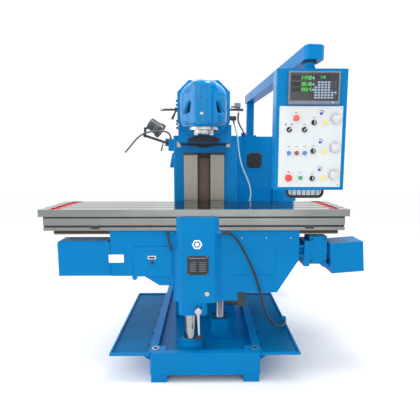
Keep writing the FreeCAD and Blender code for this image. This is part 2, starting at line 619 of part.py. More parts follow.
# ---- cabinet and pendant --------------------------------------------------------------------
def make_cabinet():
    x0, x1, y0, y1, z0, z1 = CABINET
    wall = CABINET_WALL
    shell = block(x0, x1, y0, y1, z0, z1)
    shell = shell.cut(block(x0 + wall, x1 - wall, y0 + wall, y1 - wall, z0 + wall, z1 - wall))
    shell = shell.cut(block(DOOR_LEFT + wall, x1 - wall, y0 - 1, y0 + wall + 1, z0 + wall, z1 - wall))
    shell = shell.cut(block(DOOR_LEFT, x1 + 1, y0 - 1, y0, z0, z1))
    back_plate = block(COLUMN_RIGHT, x0 + 40, COLUMN_REAR - 20, y0, z0, z1)
    hose_block = block(HOSE_END[0] - 22, HOSE_END[0] + 22, HOSE_END[1] + CORD_GAP, HOSE_END[1] + 40,
                       z1, z1 + 38)
    knuckles, pins = [], []
    for z in HINGE_Z:
        knuckles.append(block(x1 - 0.5, HINGE_X - 6, HINGE_Y, HINGE_Y + 40, z, z + HINGE_HEIGHT))
        knuckles.append(pillar(HINGE_X, HINGE_Y, z, z + HINGE_HEIGHT, HINGE_R))
        pins.append(pillar(HINGE_X, HINGE_Y, z, z + 2 * HINGE_HEIGHT, HINGE_PIN_R))
    export("cabinet", join(shell, hose_block, back_plate, *knuckles, *pins))
    door_gap = 1.0
    door = block(DOOR_LEFT + door_gap, x1 - door_gap, y0 - DOOR_THICK, y0 - GAP, z0 + door_gap, z1 - door_gap)
    door = round_edges(door, 5.0, lambda e: lies_at(e, "y", y0 - DOOR_THICK))
    for z in HINGE_Z:
        low, high = z + HINGE_HEIGHT + GAP, z + 2 * HINGE_HEIGHT
        leaf = block(x1 - 12, HINGE_X, HINGE_Y - 6, HINGE_Y - 2, low, high)
        knuckle = pillar(HINGE_X, HINGE_Y, low, high, HINGE_R)
        bore = pillar(HINGE_X, HINGE_Y, low - 1, high + 1, HINGE_PIN_R + FIT)
        door = door.fuse(leaf.fuse(knuckle)).cut(bore)
    export("cabinet_door", door)


ARM_LENGTH = math.hypot(PENDANT_X - PENDANT_POST_X, PENDANT_Y - PENDANT_POST_Y)
ARM_TURN = math.degrees(math.atan2(PENDANT_X - PENDANT_POST_X, PENDANT_POST_Y - PENDANT_Y))
PIVOT_R = 20.0


def make_pendant_frame():
    half = 35.0
    top = ARM_BOTTOM - GAP
    post = around(PENDANT_POST_X, PENDANT_POST_Y, half, half, CABINET[5], top)
    post = round_edges(post, 6.0, lambda e: runs_along(e, "z"))
    flange = around(PENDANT_POST_X, PENDANT_POST_Y, 60, 60, CABINET[5], CABINET[5] + 12)
    pivot = pillar(PENDANT_POST_X, PENDANT_POST_Y, top, ARM_BOTTOM + 50, PIVOT_R)
    export("pendant_post", join(post, flange, pivot))

    px, py = PENDANT_POST_X, PENDANT_POST_Y
    half_arm = ARM_WIDTH / 2
    tip = py - ARM_LENGTH - 62
    outline = [(px - half_arm, py + 50), (px - half_arm, tip + 26), (px - half_arm + 14, tip),
               (px + half_arm + 6, tip), (px + half_arm + 28, tip + 22), (px + half_arm + 28, tip + 118),
               (px + half_arm, tip + 150),
               (px + half_arm, py + 50)]
    arm = prism_z(outline, ARM_BOTTOM, ARM_BOTTOM + ARM_HEIGHT)
    arm = round_edges(arm, 5.0, lambda e: lies_at(e, "z", ARM_BOTTOM + ARM_HEIGHT))
    arm = arm.cut(pillar(px, py, ARM_BOTTOM - 1, ARM_BOTTOM + 50 + GAP, PIVOT_R + FIT))
    end_y = py - ARM_LENGTH
    arm = arm.cut(pillar(px, end_y, ARM_BOTTOM - 1, ARM_BOTTOM + 50 + GAP, PIVOT_R + FIT))
    arm.rotate(vec(px, py, 0), Z_AXIS, ARM_TURN)
    export("pendant_arm", arm)


def panel_hole(x, z, radius):
    return bar_y(x, z, PANEL_FACE - 1, BOX_FRONT + 1, radius)


# Controls on the panel: name, x, z, cap radius and shaft radius.
ROW_Z = (1660.0, 1500.0, 1343.0)
PUSH_BUTTONS = [("estop_button", 519.0, 1684.0, 17.0), ("stop_button", 483.0, 1345.0, 20.0),
                ("start_button", 553.0, 1346.0, 11.5), ("jog_left_button", 482.0, 1488.0, 12.0),
                ("jog_stop_button", 527.0, 1488.0, 12.0), ("jog_right_button", 573.0, 1488.0, 12.0)]
SELECTORS = [("mode_selector", 481.0, 1620.0, 13.0), ("coolant_selector", 569.0, 1620.0, 13.0)]
AXIS_SELECTOR = (622.0, 0.0)     # x, and height above the row
RATE_KNOB = (661.0, 50.0)
FEED_DIAL = (746.0, 21.0)
PILOT_LAMP_X = 686.0
STEM_R = 5.0
BUTTON_TRAVEL = 6.0
CAP_REAR = PANEL_FACE - BUTTON_TRAVEL - 1.0


def make_pendant():
    outer = block(BOX_LEFT, BOX_RIGHT, BOX_FRONT, BOX_REAR, BOX_BOTTOM, BOX_TOP)
    outer = round_edges(outer, 7.0, lambda e: runs_along(e, "z") or lies_at(e, "y", BOX_REAR))
    outer = outer.cut(block(BOX_LEFT + BOX_WALL, BOX_RIGHT - BOX_WALL, BOX_FRONT + BOX_WALL,
                            BOX_REAR - BOX_WALL, BOX_BOTTOM + BOX_WALL, BOX_TOP - BOX_WALL))
    lip = 8.0
    x0, x1, z0, z1 = PANEL
    outer = outer.cut(block(x0 + lip, x1 - lip, BOX_FRONT - 1, BOX_FRONT + BOX_WALL + 1, z0 + lip, z1 - lip))
    neck = join(taper((PENDANT_X, PENDANT_Y, BOX_TOP - 1), (PENDANT_X, PENDANT_Y, BOX_TOP + 20), 46.0, 33.0),
                pillar(PENDANT_X, PENDANT_Y, BOX_TOP + 20, ARM_BOTTOM - GAP, 33.0),
                pillar(PENDANT_X, PENDANT_Y, ARM_BOTTOM - GAP, ARM_BOTTOM + 50, PIVOT_R))
    export("pendant_box", join(outer, neck))

    readout = block(READOUT[0], READOUT[1], BOX_FRONT - READOUT_DEPTH, BOX_FRONT, READOUT[2], READOUT[3])
    export("readout", round_edges(readout, 5.0, lambda e: runs_along(e, "y", 10.0)))

    tube_r = 8.5
    y = -775.0
    legs = (489.0, 699.0)
    bend = 26.0
    low = 1232.0
    middle = bend * (1 - math.sqrt(0.5))
    left, right = legs
    path = Part.Wire([
        Part.LineSegment(vec(left, y, BOX_BOTTOM), vec(left, y, low + bend)).toShape(),
        Part.Arc(vec(left, y, low + bend), vec(left + middle, y, low + middle),
                 vec(left + bend, y, low)).toShape(),
        Part.LineSegment(vec(left + bend, y, low), vec(right - bend, y, low)).toShape(),
        Part.Arc(vec(right - bend, y, low), vec(right - middle, y, low + middle),
                 vec(right, y, low + bend)).toShape(),
        Part.LineSegment(vec(right, y, low + bend), vec(right, y, BOX_BOTTOM)).toShape()])
    ring = Part.Wire(Part.makeCircle(tube_r, vec(legs[0], y, BOX_BOTTOM), vec(0, 0, -1)))
    export("pendant_handle", path.makePipeShell([ring], True, False))

    panel = block(x0, x1, PANEL_FACE, BOX_FRONT, z0, z1)
    for _, x, z, radius in PUSH_BUTTONS:
        panel = panel.cut(panel_hole(x, z, STEM_R + 0.3))
    for _, x, z, radius in SELECTORS:
        panel = panel.cut(panel_hole(x, z, STEM_R + 0.3))
    for z in ROW_Z:
        for x, rise in (AXIS_SELECTOR, RATE_KNOB, FEED_DIAL):
            panel = panel.cut(panel_hole(x, z + rise, STEM_R + 0.3))
    export("control_panel", panel)

    for name, x, z, radius in PUSH_BUTTONS:
        depth = 14.0 if radius > 15 else 7.0
        cap = bar_y(x, z, CAP_REAR - depth, CAP_REAR, radius)
        cap = round_edges(cap, 3.0, lambda e: lies_at(e, "y", CAP_REAR - depth))
        export(name, join(cap, bar_y(x, z, CAP_REAR, BOX_FRONT + 12, STEM_R)))
    for name, x, z, radius in SELECTORS:
        export(name, selector(x, z, radius, 45.0))
    lamps = []
    for row, z in enumerate(ROW_Z):
        export("axis_selector_" + str(row + 1), selector(AXIS_SELECTOR[0], z + AXIS_SELECTOR[1], 13.0, 0.0))
        export("rate_knob_" + str(row + 1), turned_knob(RATE_KNOB[0], z + RATE_KNOB[1], 8.5, 15.0))
        export("feed_dial_" + str(row + 1), turned_knob(FEED_DIAL[0], z + FEED_DIAL[1], 31.0, 20.0))
        lamps.append(bar_y(PILOT_LAMP_X, z, PANEL_FACE - 9, PANEL_FACE, 12.0))
    export("pilot_lamps", *lamps)


def selector(x, z, radius, turn):
    """A round selector with a raised grip bar, its stem through the panel."""
    disc = bar_y(x, z, PANEL_FACE - 8, PANEL_FACE - GAP, radius)
    grip = block(x - 3.5, x + 3.5, PANEL_FACE - 18, PANEL_FACE - 8, z - radius + 1, z + radius - 1)
    knob = join(disc, grip, bar_y(x, z, PANEL_FACE - GAP, BOX_FRONT + 12, STEM_R))
    knob.rotate(vec(x, 0, z), Y_AXIS, turn)
    return knob


def turned_knob(x, z, radius, depth):
    """A round turned knob with its stem through the panel."""
    knob = bar_y(x, z, PANEL_FACE - depth, PANEL_FACE - GAP, radius)
    knob = round_edges(knob, min(3.0, radius / 4), lambda e: lies_at(e, "y", PANEL_FACE - depth))
    return join(knob, bar_y(x, z, PANEL_FACE - GAP, BOX_FRONT + 12, STEM_R))


# ---- work lamp and coolant pipe -------------------------------------------------------------
LAMP_PIVOT = (-474.0, LAMP_HUB_Y, 1640.0)


def make_lamp():
    px, py, pz = LAMP_PIVOT
    hub = pillar(LAMP_HUB_X, LAMP_HUB_Y, LAMP_HUB_LOW, LAMP_HUB_HIGH, 15.0)
    bar = rod((LAMP_HUB_X - 8, LAMP_HUB_Y, 1586), (px + 6, py, pz - 2), 10.0)
    knuckle = bar_y(px, pz, py - 14, py + 14, 14.0)
    handle = taper((LAMP_HUB_X - 30, LAMP_HUB_Y - 2, 1586), (LAMP_HUB_X - 44, LAMP_HUB_Y - 20, 1520),
                   4.0, 6.0)
    arm = join(hub, bar, knuckle, handle)
    arm = arm.cut(pillar(LAMP_HUB_X, LAMP_HUB_Y, LAMP_HUB_LOW - 1, LAMP_HUB_HIGH + 1, 6.0 + FIT))
    arm = arm.cut(bar_y(px, pz, py - 15, py + 15, 5.0 + FIT))
    export("lamp_arm", arm)
    ears = [bar_y(px, pz, y0, y0 + 10, 13.0) for y0 in (py - 14 - GAP - 10, py + 14 + GAP)]
    pin = bar_y(px, pz, py - 24, py + 24, 5.0)
    ties = [block(px - 7, px + 7, y0, y0 + 10, pz, pz + 62) for y0 in (py - 14 - GAP - 10, py + 14 + GAP)]
    bridge = block(px - 7, px + 30, py - 24.4, py + 24.4, pz + 52, pz + 64)
    rear = vec(-438.0, py, 1741.0)
    direction = vec(math.cos(math.radians(-36)), 0, math.sin(math.radians(-36)))
    shell_length = 118.0
    shell = Part.makeCone(46.0, 60.0, shell_length, rear, direction)
    dish = Part.makeCone(40.0, 55.0, shell_length - 30, rear + direction * 31, direction)
    shell = shell.cut(dish)
    lens = Part.makeCylinder(55.0, 5.0, rear + direction * (shell_length - 14), direction)
    export("lamp_head", join(shell, lens, bridge, pin, *ears, *ties))


PIPE_ROUTE = [(-268, -20, BRACKET_TOP + 0.5), (-269, -22, 1638), (-285, -35, 1660), (-322, -50, 1670),
              (-370, -59, 1669), (-420, -64, 1664), (-468, -68, 1650), (-508, -71, 1625), (-543, -74, 1588),
              (-577, -77, 1546), (-612, -81, 1506)]
CABLE_ROUTE = [(112.5, -628, 985), (150, -628.5, 984), (190, -629, 959), (224, -630, 912), (262, -630, 845),
               (300, -629, 768), (332, -626, 688), (356, -621, 608), (376, -616, 530), (396, -604, 462),
               (424, -580, 396), (458, -546, 340), (498, -500, 294), (540, -444, 262), (575, -385, 243),
               (596, -325, 232), (602, -262, 228)]
HOSE_ROUTE = [(240, -262, 1784), (238, -254, 1760), (240, -222, 1740), (248, -165, 1729), (260, -90, 1722),
              (277, 10, 1715), (299, 130, 1707), (323, 270, 1700), (345, 410, 1696), (362, 540, 1694),
              (372, 630, 1695), (376, 700, 1697)]
LUBE_ROUTE = [(224, 20, 1757), (232, 24, 1730), (245, 29, 1690), (258, 34, 1640), (266, 40, 1575),
              (273, 46, 1510), (284, 52, 1448), (302, 60, 1388), (330, 69, 1330), (356, 76, 1272),
              (372, 84, 1218), (379, 90, 1160), (370, 94, 1112), (344, 96, 1074), (306, 96, 1052),
              (263, 96, 1050)]
CABLE_START = CABLE_ROUTE[0]
CABLE_END = CABLE_ROUTE[-1]
HOSE_END = HOSE_ROUTE[-1]


def make_cords():
    export("coolant_pipe", cord("coolant_pipe", PIPE_ROUTE, 6.5))
    export("knee_cable", cord("knee_cable", CABLE_ROUTE, 7.0))
    export("head_hose", cord("head_hose", HOSE_ROUTE, 6.0))
    export("lube_hose", cord("lube_hose", LUBE_ROUTE, 6.0))


def main():
    os.makedirs("parts", exist_ok=True)
    make_base()
    export("chip_tray_left", make_tray(-1))
    export("chip_tray_right", make_tray(1))
    make_column()
    make_knee()
    make_drives()
    make_levers()
    make_table()
    make_ram()
    make_head()
    make_spindle()
    make_cabinet()
    make_pendant_frame()
    make_pendant()
    make_lamp()
    make_cords()


main()
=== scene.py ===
"""Looks of a ram-type vertical milling machine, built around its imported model. Metres, +Z up."""

import logging
import math
from dataclasses import dataclass, field
from enum import Enum
from typing import Sequence

import bmesh
import bpy
import numpy as np
from mathutils import Matrix, Vector


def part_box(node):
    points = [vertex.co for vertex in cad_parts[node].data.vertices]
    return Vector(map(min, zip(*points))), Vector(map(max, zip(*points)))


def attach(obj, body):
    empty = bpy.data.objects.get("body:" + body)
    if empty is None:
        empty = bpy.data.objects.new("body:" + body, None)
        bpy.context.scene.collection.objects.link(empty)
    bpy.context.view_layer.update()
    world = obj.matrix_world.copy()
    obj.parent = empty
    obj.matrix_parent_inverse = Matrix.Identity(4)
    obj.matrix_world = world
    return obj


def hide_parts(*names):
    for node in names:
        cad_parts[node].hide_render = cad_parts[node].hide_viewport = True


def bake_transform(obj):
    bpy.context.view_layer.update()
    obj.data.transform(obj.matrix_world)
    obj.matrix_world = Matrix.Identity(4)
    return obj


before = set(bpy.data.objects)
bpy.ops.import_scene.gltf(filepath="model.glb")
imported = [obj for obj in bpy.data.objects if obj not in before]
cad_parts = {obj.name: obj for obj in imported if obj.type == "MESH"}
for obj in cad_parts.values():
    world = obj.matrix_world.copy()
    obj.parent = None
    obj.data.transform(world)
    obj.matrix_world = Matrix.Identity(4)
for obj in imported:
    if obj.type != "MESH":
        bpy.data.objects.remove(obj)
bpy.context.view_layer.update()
LOG = logging.getLogger("milling_machine")
Point = Sequence[float]
Colour = tuple[float, float, float]


class Axis(Enum):
    """The direction that a turned or carried shape points in."""

    X = (1.0, 0.0, 0.0)
    Y = (0.0, 1.0, 0.0)
    Z = (0.0, 0.0, 1.0)
    FRONT = (0.0, -1.0, 0.0)
    DOWN = (0.0, 0.0, -1.0)
    LEFT = (-1.0, 0.0, 0.0)


# ---- surfaces -------------------------------------------------------------------------------
def grid_faces(rows: int, columns: int, start: int, wrap: bool) -> list[tuple[int, ...]]:
    """Quads over a grid of points.

    Args:
        rows: points along the first parameter.
        columns: points along the second parameter.
        start: index of the first point.
        wrap: whether the second parameter closes on itself.
    Returns:
        One tuple of four indices per quad: (i, j), (i, j+1), (i+1, j+1), (i+1, j).
    """
    last = columns if wrap else columns - 1
    i, j = np.meshgrid(np.arange(rows - 1), np.arange(last), indexing="ij")
    k = (j + 1) % columns
    quads = np.stack([i * columns + j, i * columns + k, (i + 1) * columns + k, (i + 1) * columns + j], -1)
    return [tuple(q) for q in (quads.reshape(-1, 4) + start).tolist()]


def facing(direction: Axis | Point) -> np.ndarray:
    """A 3 by 3 matrix whose third column is the direction and whose first lies level where it can.

    Args:
        direction: an Axis or any vector.
    Returns:
        Columns right, up and forward, each at right angles to the others.
    """
    forward = np.array(direction.value if isinstance(direction, Axis) else direction, float)
    forward /= np.linalg.norm(forward)
    helper = np.array([0.0, 0.0, 1.0]) if abs(forward[2]) < 0.9 else np.array([0.0, 1.0, 0.0])
    right = np.cross(helper, forward)
    right /= np.linalg.norm(right)
    return np.stack([right, np.cross(forward, right), forward], 1)


class Surface:
    """Gathers grids of points into one mesh piece."""

    def __init__(self) -> None:
        self.points: list[np.ndarray] = []
        self.faces: list[tuple[int, ...]] = []
        self.count = 0

    def grid(self, points: np.ndarray, wrap: bool = True, caps: bool = True) -> "Surface":
        """Adds a grid of points, optionally wrapped along its second side and capped at both ends.

        Args:
            points: array of rows by columns by 3.
            wrap: close the second parameter.
            caps: close the first and last rows with one face each.
        """
        rows, columns = points.shape[:2]
        self.faces += grid_faces(rows, columns, self.count, wrap)
        if wrap and caps:
            self.faces.append(tuple(range(self.count + columns - 1, self.count - 1, -1)))
            top = self.count + (rows - 1) * columns
            self.faces.append(tuple(range(top, top + columns)))
        self.points.append(points.reshape(-1, 3))
        self.count += rows * columns
        return self

    def turned(self, profile: Sequence[tuple[float, float]], at: Point, direction: Axis | Point = Axis.Z,
               sides: int = 32, phase: float = 0.0) -> "Surface":
        """Adds a radius and height profile turned about a direction through a point.

        A point at angle a and height h is centre + h forward + r (cos a right + sin a up).

        Args:
            profile: pairs of radius and height, from the start to the end of the shape.
            at: the point where height is zero.
            direction: the axis of turning.
            sides: number of flats round the shape.
            phase: angle of the first corner, in radians.
        """
        frame3 = facing(direction)
        line = np.array(profile, float)
        angle = np.linspace(0, 2 * math.pi, sides, endpoint=False) + phase
        ring = np.cos(angle)[:, None] * frame3[:, 0] + np.sin(angle)[:, None] * frame3[:, 1]
        points = np.array(at, float) + line[:, 1, None, None] * frame3[:, 2] + line[:, 0, None, None] * ring
        return self.grid(points)

    def ring(self, loop: Sequence[tuple[float, float]], at: Point, direction: Axis | Point = Axis.Z,
             sides: int = 32) -> "Surface":
        """Adds a closed loop of radius and height pairs turned about a direction: a ring with a hole.

        Args:
            loop: the ring's section, going round once.
            at: the point where height is zero.
            direction: the axis of turning.
            sides: number of flats round the ring.
        """
        self.turned((*loop, loop[0]), at, direction, sides)
        del self.faces[-2:]
        return self

    def fluted(self, profile: Sequence[tuple[float, float]], at: Point, direction: Axis | Point,
               flutes: int, depth: float, sides: int = 96) -> "Surface":
        """Adds a turned knob whose radius dips evenly: r (1 - depth (1 - cos(flutes a)) / 2).

        Args:
            profile: pairs of radius and height.
            at: the point where height is zero.
            direction: the axis of turning.
            flutes: number of grooves round the knob.
            depth: share of the radius that a groove takes.
            sides: number of flats round the knob.
        """
        frame3 = facing(direction)
        line = np.array(profile, float)
        angle = np.linspace(0, 2 * math.pi, sides, endpoint=False)
        dip = 1 - depth * (1 - np.cos(flutes * angle)) / 2
        ring = (np.cos(angle)[:, None] * frame3[:, 0] + np.sin(angle)[:, None] * frame3[:, 1]) * dip[:, None]
        return self.grid(np.array(at, float) + line[:, 1, None, None] * frame3[:, 2]
                         + line[:, 0, None, None] * ring)

    def block(self, low: Point, high: Point, radius: float = 0.002, steps: int = 3,
              turn: float = 0.0, about: Axis = Axis.Y) -> "Surface":
        """Adds a box with rounded edges: a sphere whose octants are pulled to the inner corners.

        A direction d in an octant with signs s gives centre + s (half side - radius) + radius d.

        Args:
            low: lowest corner.
            high: highest corner.
            radius: rounding of every edge.
            steps: flats along a quarter turn.
            turn: angle about the box's own centre, in degrees.
            about: the axis of that turn.
        """
        low_corner, high_corner = np.array(low, float), np.array(high, float)
        half = (high_corner - low_corner) / 2
        centre = (high_corner + low_corner) / 2
        radius = min(radius, float(half.min()) * 0.98)
        quarter = np.linspace(0, math.pi / 2, steps + 1)
        azimuth = np.concatenate([quarter + q * math.pi / 2 for q in range(4)])
        sign_x = np.repeat([1, -1, -1, 1], steps + 1)
        sign_y = np.repeat([1, 1, -1, -1], steps + 1)
        rise = np.concatenate([-quarter[::-1], quarter])
        sign_z = np.repeat([-1, 1], steps + 1)
        across = np.cos(rise)[:, None]
        direction = np.stack([across * np.cos(azimuth), across * np.sin(azimuth),
                              np.sin(rise)[:, None] * np.ones_like(azimuth)], -1)
        signs = np.stack(np.broadcast_arrays(sign_x[None, :], sign_y[None, :], sign_z[:, None]), -1)
        local = signs * (half - radius) + radius * direction
        if turn:
            local = local @ np.array(Matrix.Rotation(math.radians(turn), 3, Vector(about.value))).T
        return self.grid(centre + local)

    def tube(self, line: np.ndarray, radius: float | np.ndarray, sides: int = 12) -> "Surface":
        """Adds a round tube along a line: each ring stands across the line's direction there.

        Args:
            line: points along the centre.
            radius: one radius, or one for each point.
            sides: flats round the tube.
        """
        along = np.gradient(line, axis=0)
        along /= np.linalg.norm(along, axis=1, keepdims=True)
        reference = np.array([0.31, 0.17, 0.94])
        right = np.cross(along, reference)
        right /= np.linalg.norm(right, axis=1, keepdims=True)
        up = np.cross(along, right)
        angle = np.linspace(0, 2 * math.pi, sides, endpoint=False)
        spread = np.broadcast_to(np.asarray(radius, float), (len(line),))[:, None, None]
        ring = np.cos(angle)[None, :, None] * right[:, None] + np.sin(angle)[None, :, None] * up[:, None]
        return self.grid(line[:, None] + spread * ring)

    def strip(self, outline: Sequence[tuple[float, float]], at: Point, direction: Axis | Point,
              depth: float) -> "Surface":
        """Adds a flat outline carried straight along a direction.

        Args:
            outline: pairs of right and up distances from the point.
            at: where the outline's origin stands.
            direction: the way that it is carried.
            depth: how far.
        """
        frame3 = facing(direction)
        flat = np.array(outline, float)
        base = np.array(at, float) + flat[:, 0, None] * frame3[:, 0] + flat[:, 1, None] * frame3[:, 1]
        return self.grid(np.stack([base, base + depth * frame3[:, 2]]))

    def build(self, name: str, material: bpy.types.Material, body: str | None,
              smooth: bool = True) -> bpy.types.Object:
        """Makes the mesh piece, closes its seams, turns its faces outwards and lets it ride on a body.

        Args:
            name: the piece's name.
            material: its finish.
            body: the moving body that carries it, or None where the piece spans a joint and is left
                unattached.
            smooth: shade it smooth except at sharp edges.
        Returns:
            The finished object.
        """
        mesh = bpy.data.meshes.new(name)
        mesh.from_pydata(np.concatenate(self.points).tolist(), [], self.faces)
        work = bmesh.new()
        work.from_mesh(mesh)
        bmesh.ops.remove_doubles(work, verts=work.verts, dist=1e-6)
        bmesh.ops.dissolve_degenerate(work, edges=work.edges, dist=1e-7)
        bmesh.ops.recalc_face_normals(work, faces=work.faces)
        work.to_mesh(mesh)
        work.free()
        mesh.materials.append(material)
        if smooth:
            mesh.shade_smooth()
            mesh.set_sharp_from_angle(angle=math.radians(38))
        piece = bpy.data.objects.new(name, mesh)
        bpy.context.scene.collection.objects.link(piece)
        if body:
            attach(piece, body)
        LOG.info("%s rides on %s with %d faces", name, body, len(mesh.polygons))
        return piece


# ---- finishes -------------------------------------------------------------------------------
class Signal:
    """A shader value whose arithmetic adds Math nodes."""

    def __init__(self, graph: "Graph", socket: bpy.types.NodeSocket) -> None:
        self.graph = graph
        self.socket = socket

    def _math(self, operation: str, first: "Signal | float", second: "Signal | float") -> "Signal":
        """One Math node on two values."""
        return self.graph.node("ShaderNodeMath", {"operation": operation}, {0: first, 1: second})

    def __add__(self, other: "Signal | float") -> "Signal":
        """Sum."""
        return self._math("ADD", self, other)

    __radd__ = __add__

    def __sub__(self, other: "Signal | float") -> "Signal":
        """Difference."""
        return self._math("SUBTRACT", self, other)

    def __rsub__(self, other: "Signal | float") -> "Signal":
        """Difference, the other way round."""
        return self._math("SUBTRACT", other, self)

    def __mul__(self, other: "Signal | float") -> "Signal":
        """Product."""
        return self._math("MULTIPLY", self, other)

    __rmul__ = __mul__


class Graph:
    """A material's node tree with one shader."""

    def __init__(self, name: str, **constants: float | Colour) -> None:
        self.material = bpy.data.materials.new(name)
        self.material.use_nodes = True
        self.tree = self.material.node_tree
        self.shader = next(n for n in self.tree.nodes if n.type == "BSDF_PRINCIPLED")
        for socket_name, value in constants.items():
            socket = self.shader.inputs[socket_name.replace("_", " ")]
            socket.default_value = (*value, 1.0) if isinstance(value, tuple) else value

    def node(self, kind: str, settings: dict | None = None, inputs: dict | None = None,
             output: int | str = 0) -> Signal:
        """Adds a node.

        Args:
            kind: the node's type name.
            settings: attributes, set first; "stops" holds a colour ramp's (place, colour) pairs.
            inputs: socket index or name to a value or a Signal.
            output: which output to return.
        Returns:
            The chosen output.
        """
        node = self.tree.nodes.new(kind)
        for key, value in (settings or {}).items():
            if key == "stops":
                for index, (place, colour) in enumerate(value):
                    ramp = node.color_ramp.elements
                    stop = ramp[index] if index < 2 else ramp.new(place)
                    stop.position = place
                    stop.color = (*colour, 1.0)
            else:
                setattr(node, key, value)
        for key, value in (inputs or {}).items():
            if isinstance(value, Signal):
                self.tree.links.new(value.socket, node.inputs[key])
            else:
                node.inputs[key].default_value = (*value, 1.0) if self._is_colour(node.inputs[key],
                                                                                  value) else value
        return Signal(self, node.outputs[output])

    @staticmethod
    def _is_colour(socket: bpy.types.NodeSocket, value: object) -> bool:
        """True where three numbers go into a colour socket."""
        return socket.type == "RGBA" and isinstance(value, tuple) and len(value) == 3

    def place(self, scale: Point = (1.0, 1.0, 1.0)) -> Signal:
        """Object coordinates, stretched by a scale along each axis."""
        coordinates = self.node("ShaderNodeTexCoord", output="Object")
        return self.node("ShaderNodeMapping", {}, {"Vector": coordinates, "Scale": tuple(scale)})

    def noise(self, scale: float, detail: float = 3.0, stretch: Point = (1.0, 1.0, 1.0)) -> Signal:
        """Noise from 0 to 1 on object coordinates."""
        return self.node("ShaderNodeTexNoise", {}, {"Vector": self.place(stretch), "Scale": scale,
                                                    "Detail": detail})

    def blend(self, amount: Signal, first: Colour, second: Colour) -> Signal:
        """A colour between two, by an amount from 0 to 1."""
        return self.node("ShaderNodeMix", {"data_type": "RGBA"}, {0: amount, 6: first, 7: second}, output=2)

    def drive(self, **signals: Signal) -> "Graph":
        """Links signals to the shader's sockets."""
        for name, signal in signals.items():
            self.tree.links.new(signal.socket, self.shader.inputs[name.replace("_", " ")])
        return self

    def bump(self, height: Signal, strength: float, distance: float) -> Signal:
        """A Bump node fed by a height."""
        return self.node("ShaderNodeBump", {}, {"Height": height, "Strength": strength, "Distance": distance})


def shade(colour: Colour, factor: float) -> Colour:
    """A lighter or darker copy of a colour."""
    return tuple(min(1.0, c * factor) for c in colour)


@dataclass(frozen=True)
class Enamel:
    """Glossy enamel with orange peel, faint mottling and a film of dust in broad patches."""

    name: str
    colour: Colour
    roughness: float = 0.3
    coat: float = 0.35
    peel: float = 0.10
    mottle: float = 0.07
    sheen: float = 0.06

    def make(self) -> bpy.types.Material:
        """Builds the material."""
        graph = Graph(self.name, Coat_Roughness=0.09, Coat_Weight=self.coat, Specular_IOR_Level=self.sheen)
        patches = graph.noise(3.1, 4.0)
        specks = graph.noise(95.0, 2.0)
        tone = patches * 0.8 + specks * 0.2
        base = graph.blend(tone, shade(self.colour, 1 - self.mottle), shade(self.colour, 1 + self.mottle))
        peel = graph.noise(210.0, 2.0) * 0.6 + graph.noise(38.0, 2.0) * 0.4
        return graph.drive(Base_Color=base, Roughness=patches * 0.14 + (self.roughness - 0.07),
                           Normal=graph.bump(peel, self.peel, 0.0012)).material


@dataclass(frozen=True)
class GroundSteel:
    """Bare steel with grinding streaks along one axis, wiped oil and small scratches."""

    name: str
    colour: Colour = (0.56, 0.56, 0.54)
    roughness: float = 0.16
    stretch: tuple[float, float, float] = (1.2, 90.0, 90.0)
    streaks: float = 0.12
    contrast: float = 0.2

    def make(self) -> bpy.types.Material:
        """Builds the material."""
        graph = Graph(self.name, Metallic=1.0)
        grain = graph.noise(9.0, 6.0, self.stretch)
        oil = graph.noise(4.5, 4.0)
        base = graph.blend(grain * 0.6 + oil * 0.4, shade(self.colour, 1 - self.contrast),
                           shade(self.colour, 1 + self.contrast))
        return graph.drive(Base_Color=base,
                           Roughness=grain * self.streaks + oil * 0.08 + (self.roughness - 0.06),
                           Normal=graph.bump(grain, 0.08, 0.0004)).material


@dataclass(frozen=True)
class Plating:
    """Polished chrome with faint smears."""

    name: str
    colour: Colour = (0.82, 0.83, 0.84)
    roughness: float = 0.06

    def make(self) -> bpy.types.Material:
        """Builds the material."""
        graph = Graph(self.name, Metallic=1.0)
        smear = graph.noise(22.0, 5.0, (1.0, 1.0, 4.0))
        base = graph.blend(smear, shade(self.colour, 0.9), self.colour)
        return graph.drive(Base_Color=base, Roughness=smear * 0.1 + self.roughness,
                           Normal=graph.bump(smear, 0.03, 0.0004)).material


@dataclass(frozen=True)
class Moulded:
    """Moulded plastic or rubber with a fine spark-eroded grain."""

    name: str
    colour: Colour
    roughness: float = 0.42
    grain: float = 900.0
    depth: float = 0.12
    coat: float = 0.0

    def make(self) -> bpy.types.Material:
        """Builds the material."""
        graph = Graph(self.name, Coat_Weight=self.coat, Coat_Roughness=0.08)
        grain = graph.noise(self.grain, 2.0)
        cloud = graph.noise(26.0, 3.0)
        base = graph.blend(cloud, shade(self.colour, 0.86), shade(self.colour, 1.14))
        return graph.drive(Base_Color=base, Roughness=cloud * 0.12 + (self.roughness - 0.06),
                           Normal=graph.bump(grain, self.depth, 0.0005)).material


@dataclass(frozen=True)
class Cast:
    """Sand-cast metal under thin paint: coarse lumps and fine pits."""

    name: str
    colour: Colour
    roughness: float = 0.55
    metallic: float = 0.0

    def make(self) -> bpy.types.Material:
        """Builds the material."""
        graph = Graph(self.name, Metallic=self.metallic)
        lumps = graph.noise(60.0, 5.0)
        pits = graph.noise(420.0, 2.0)
        base = graph.blend(lumps, shade(self.colour, 0.8), shade(self.colour, 1.25))
        return graph.drive(Base_Color=base, Roughness=lumps * 0.2 + (self.roughness - 0.1),
                           Normal=graph.bump(lumps * 0.6 + pits * 0.4, 0.3, 0.0012)).material


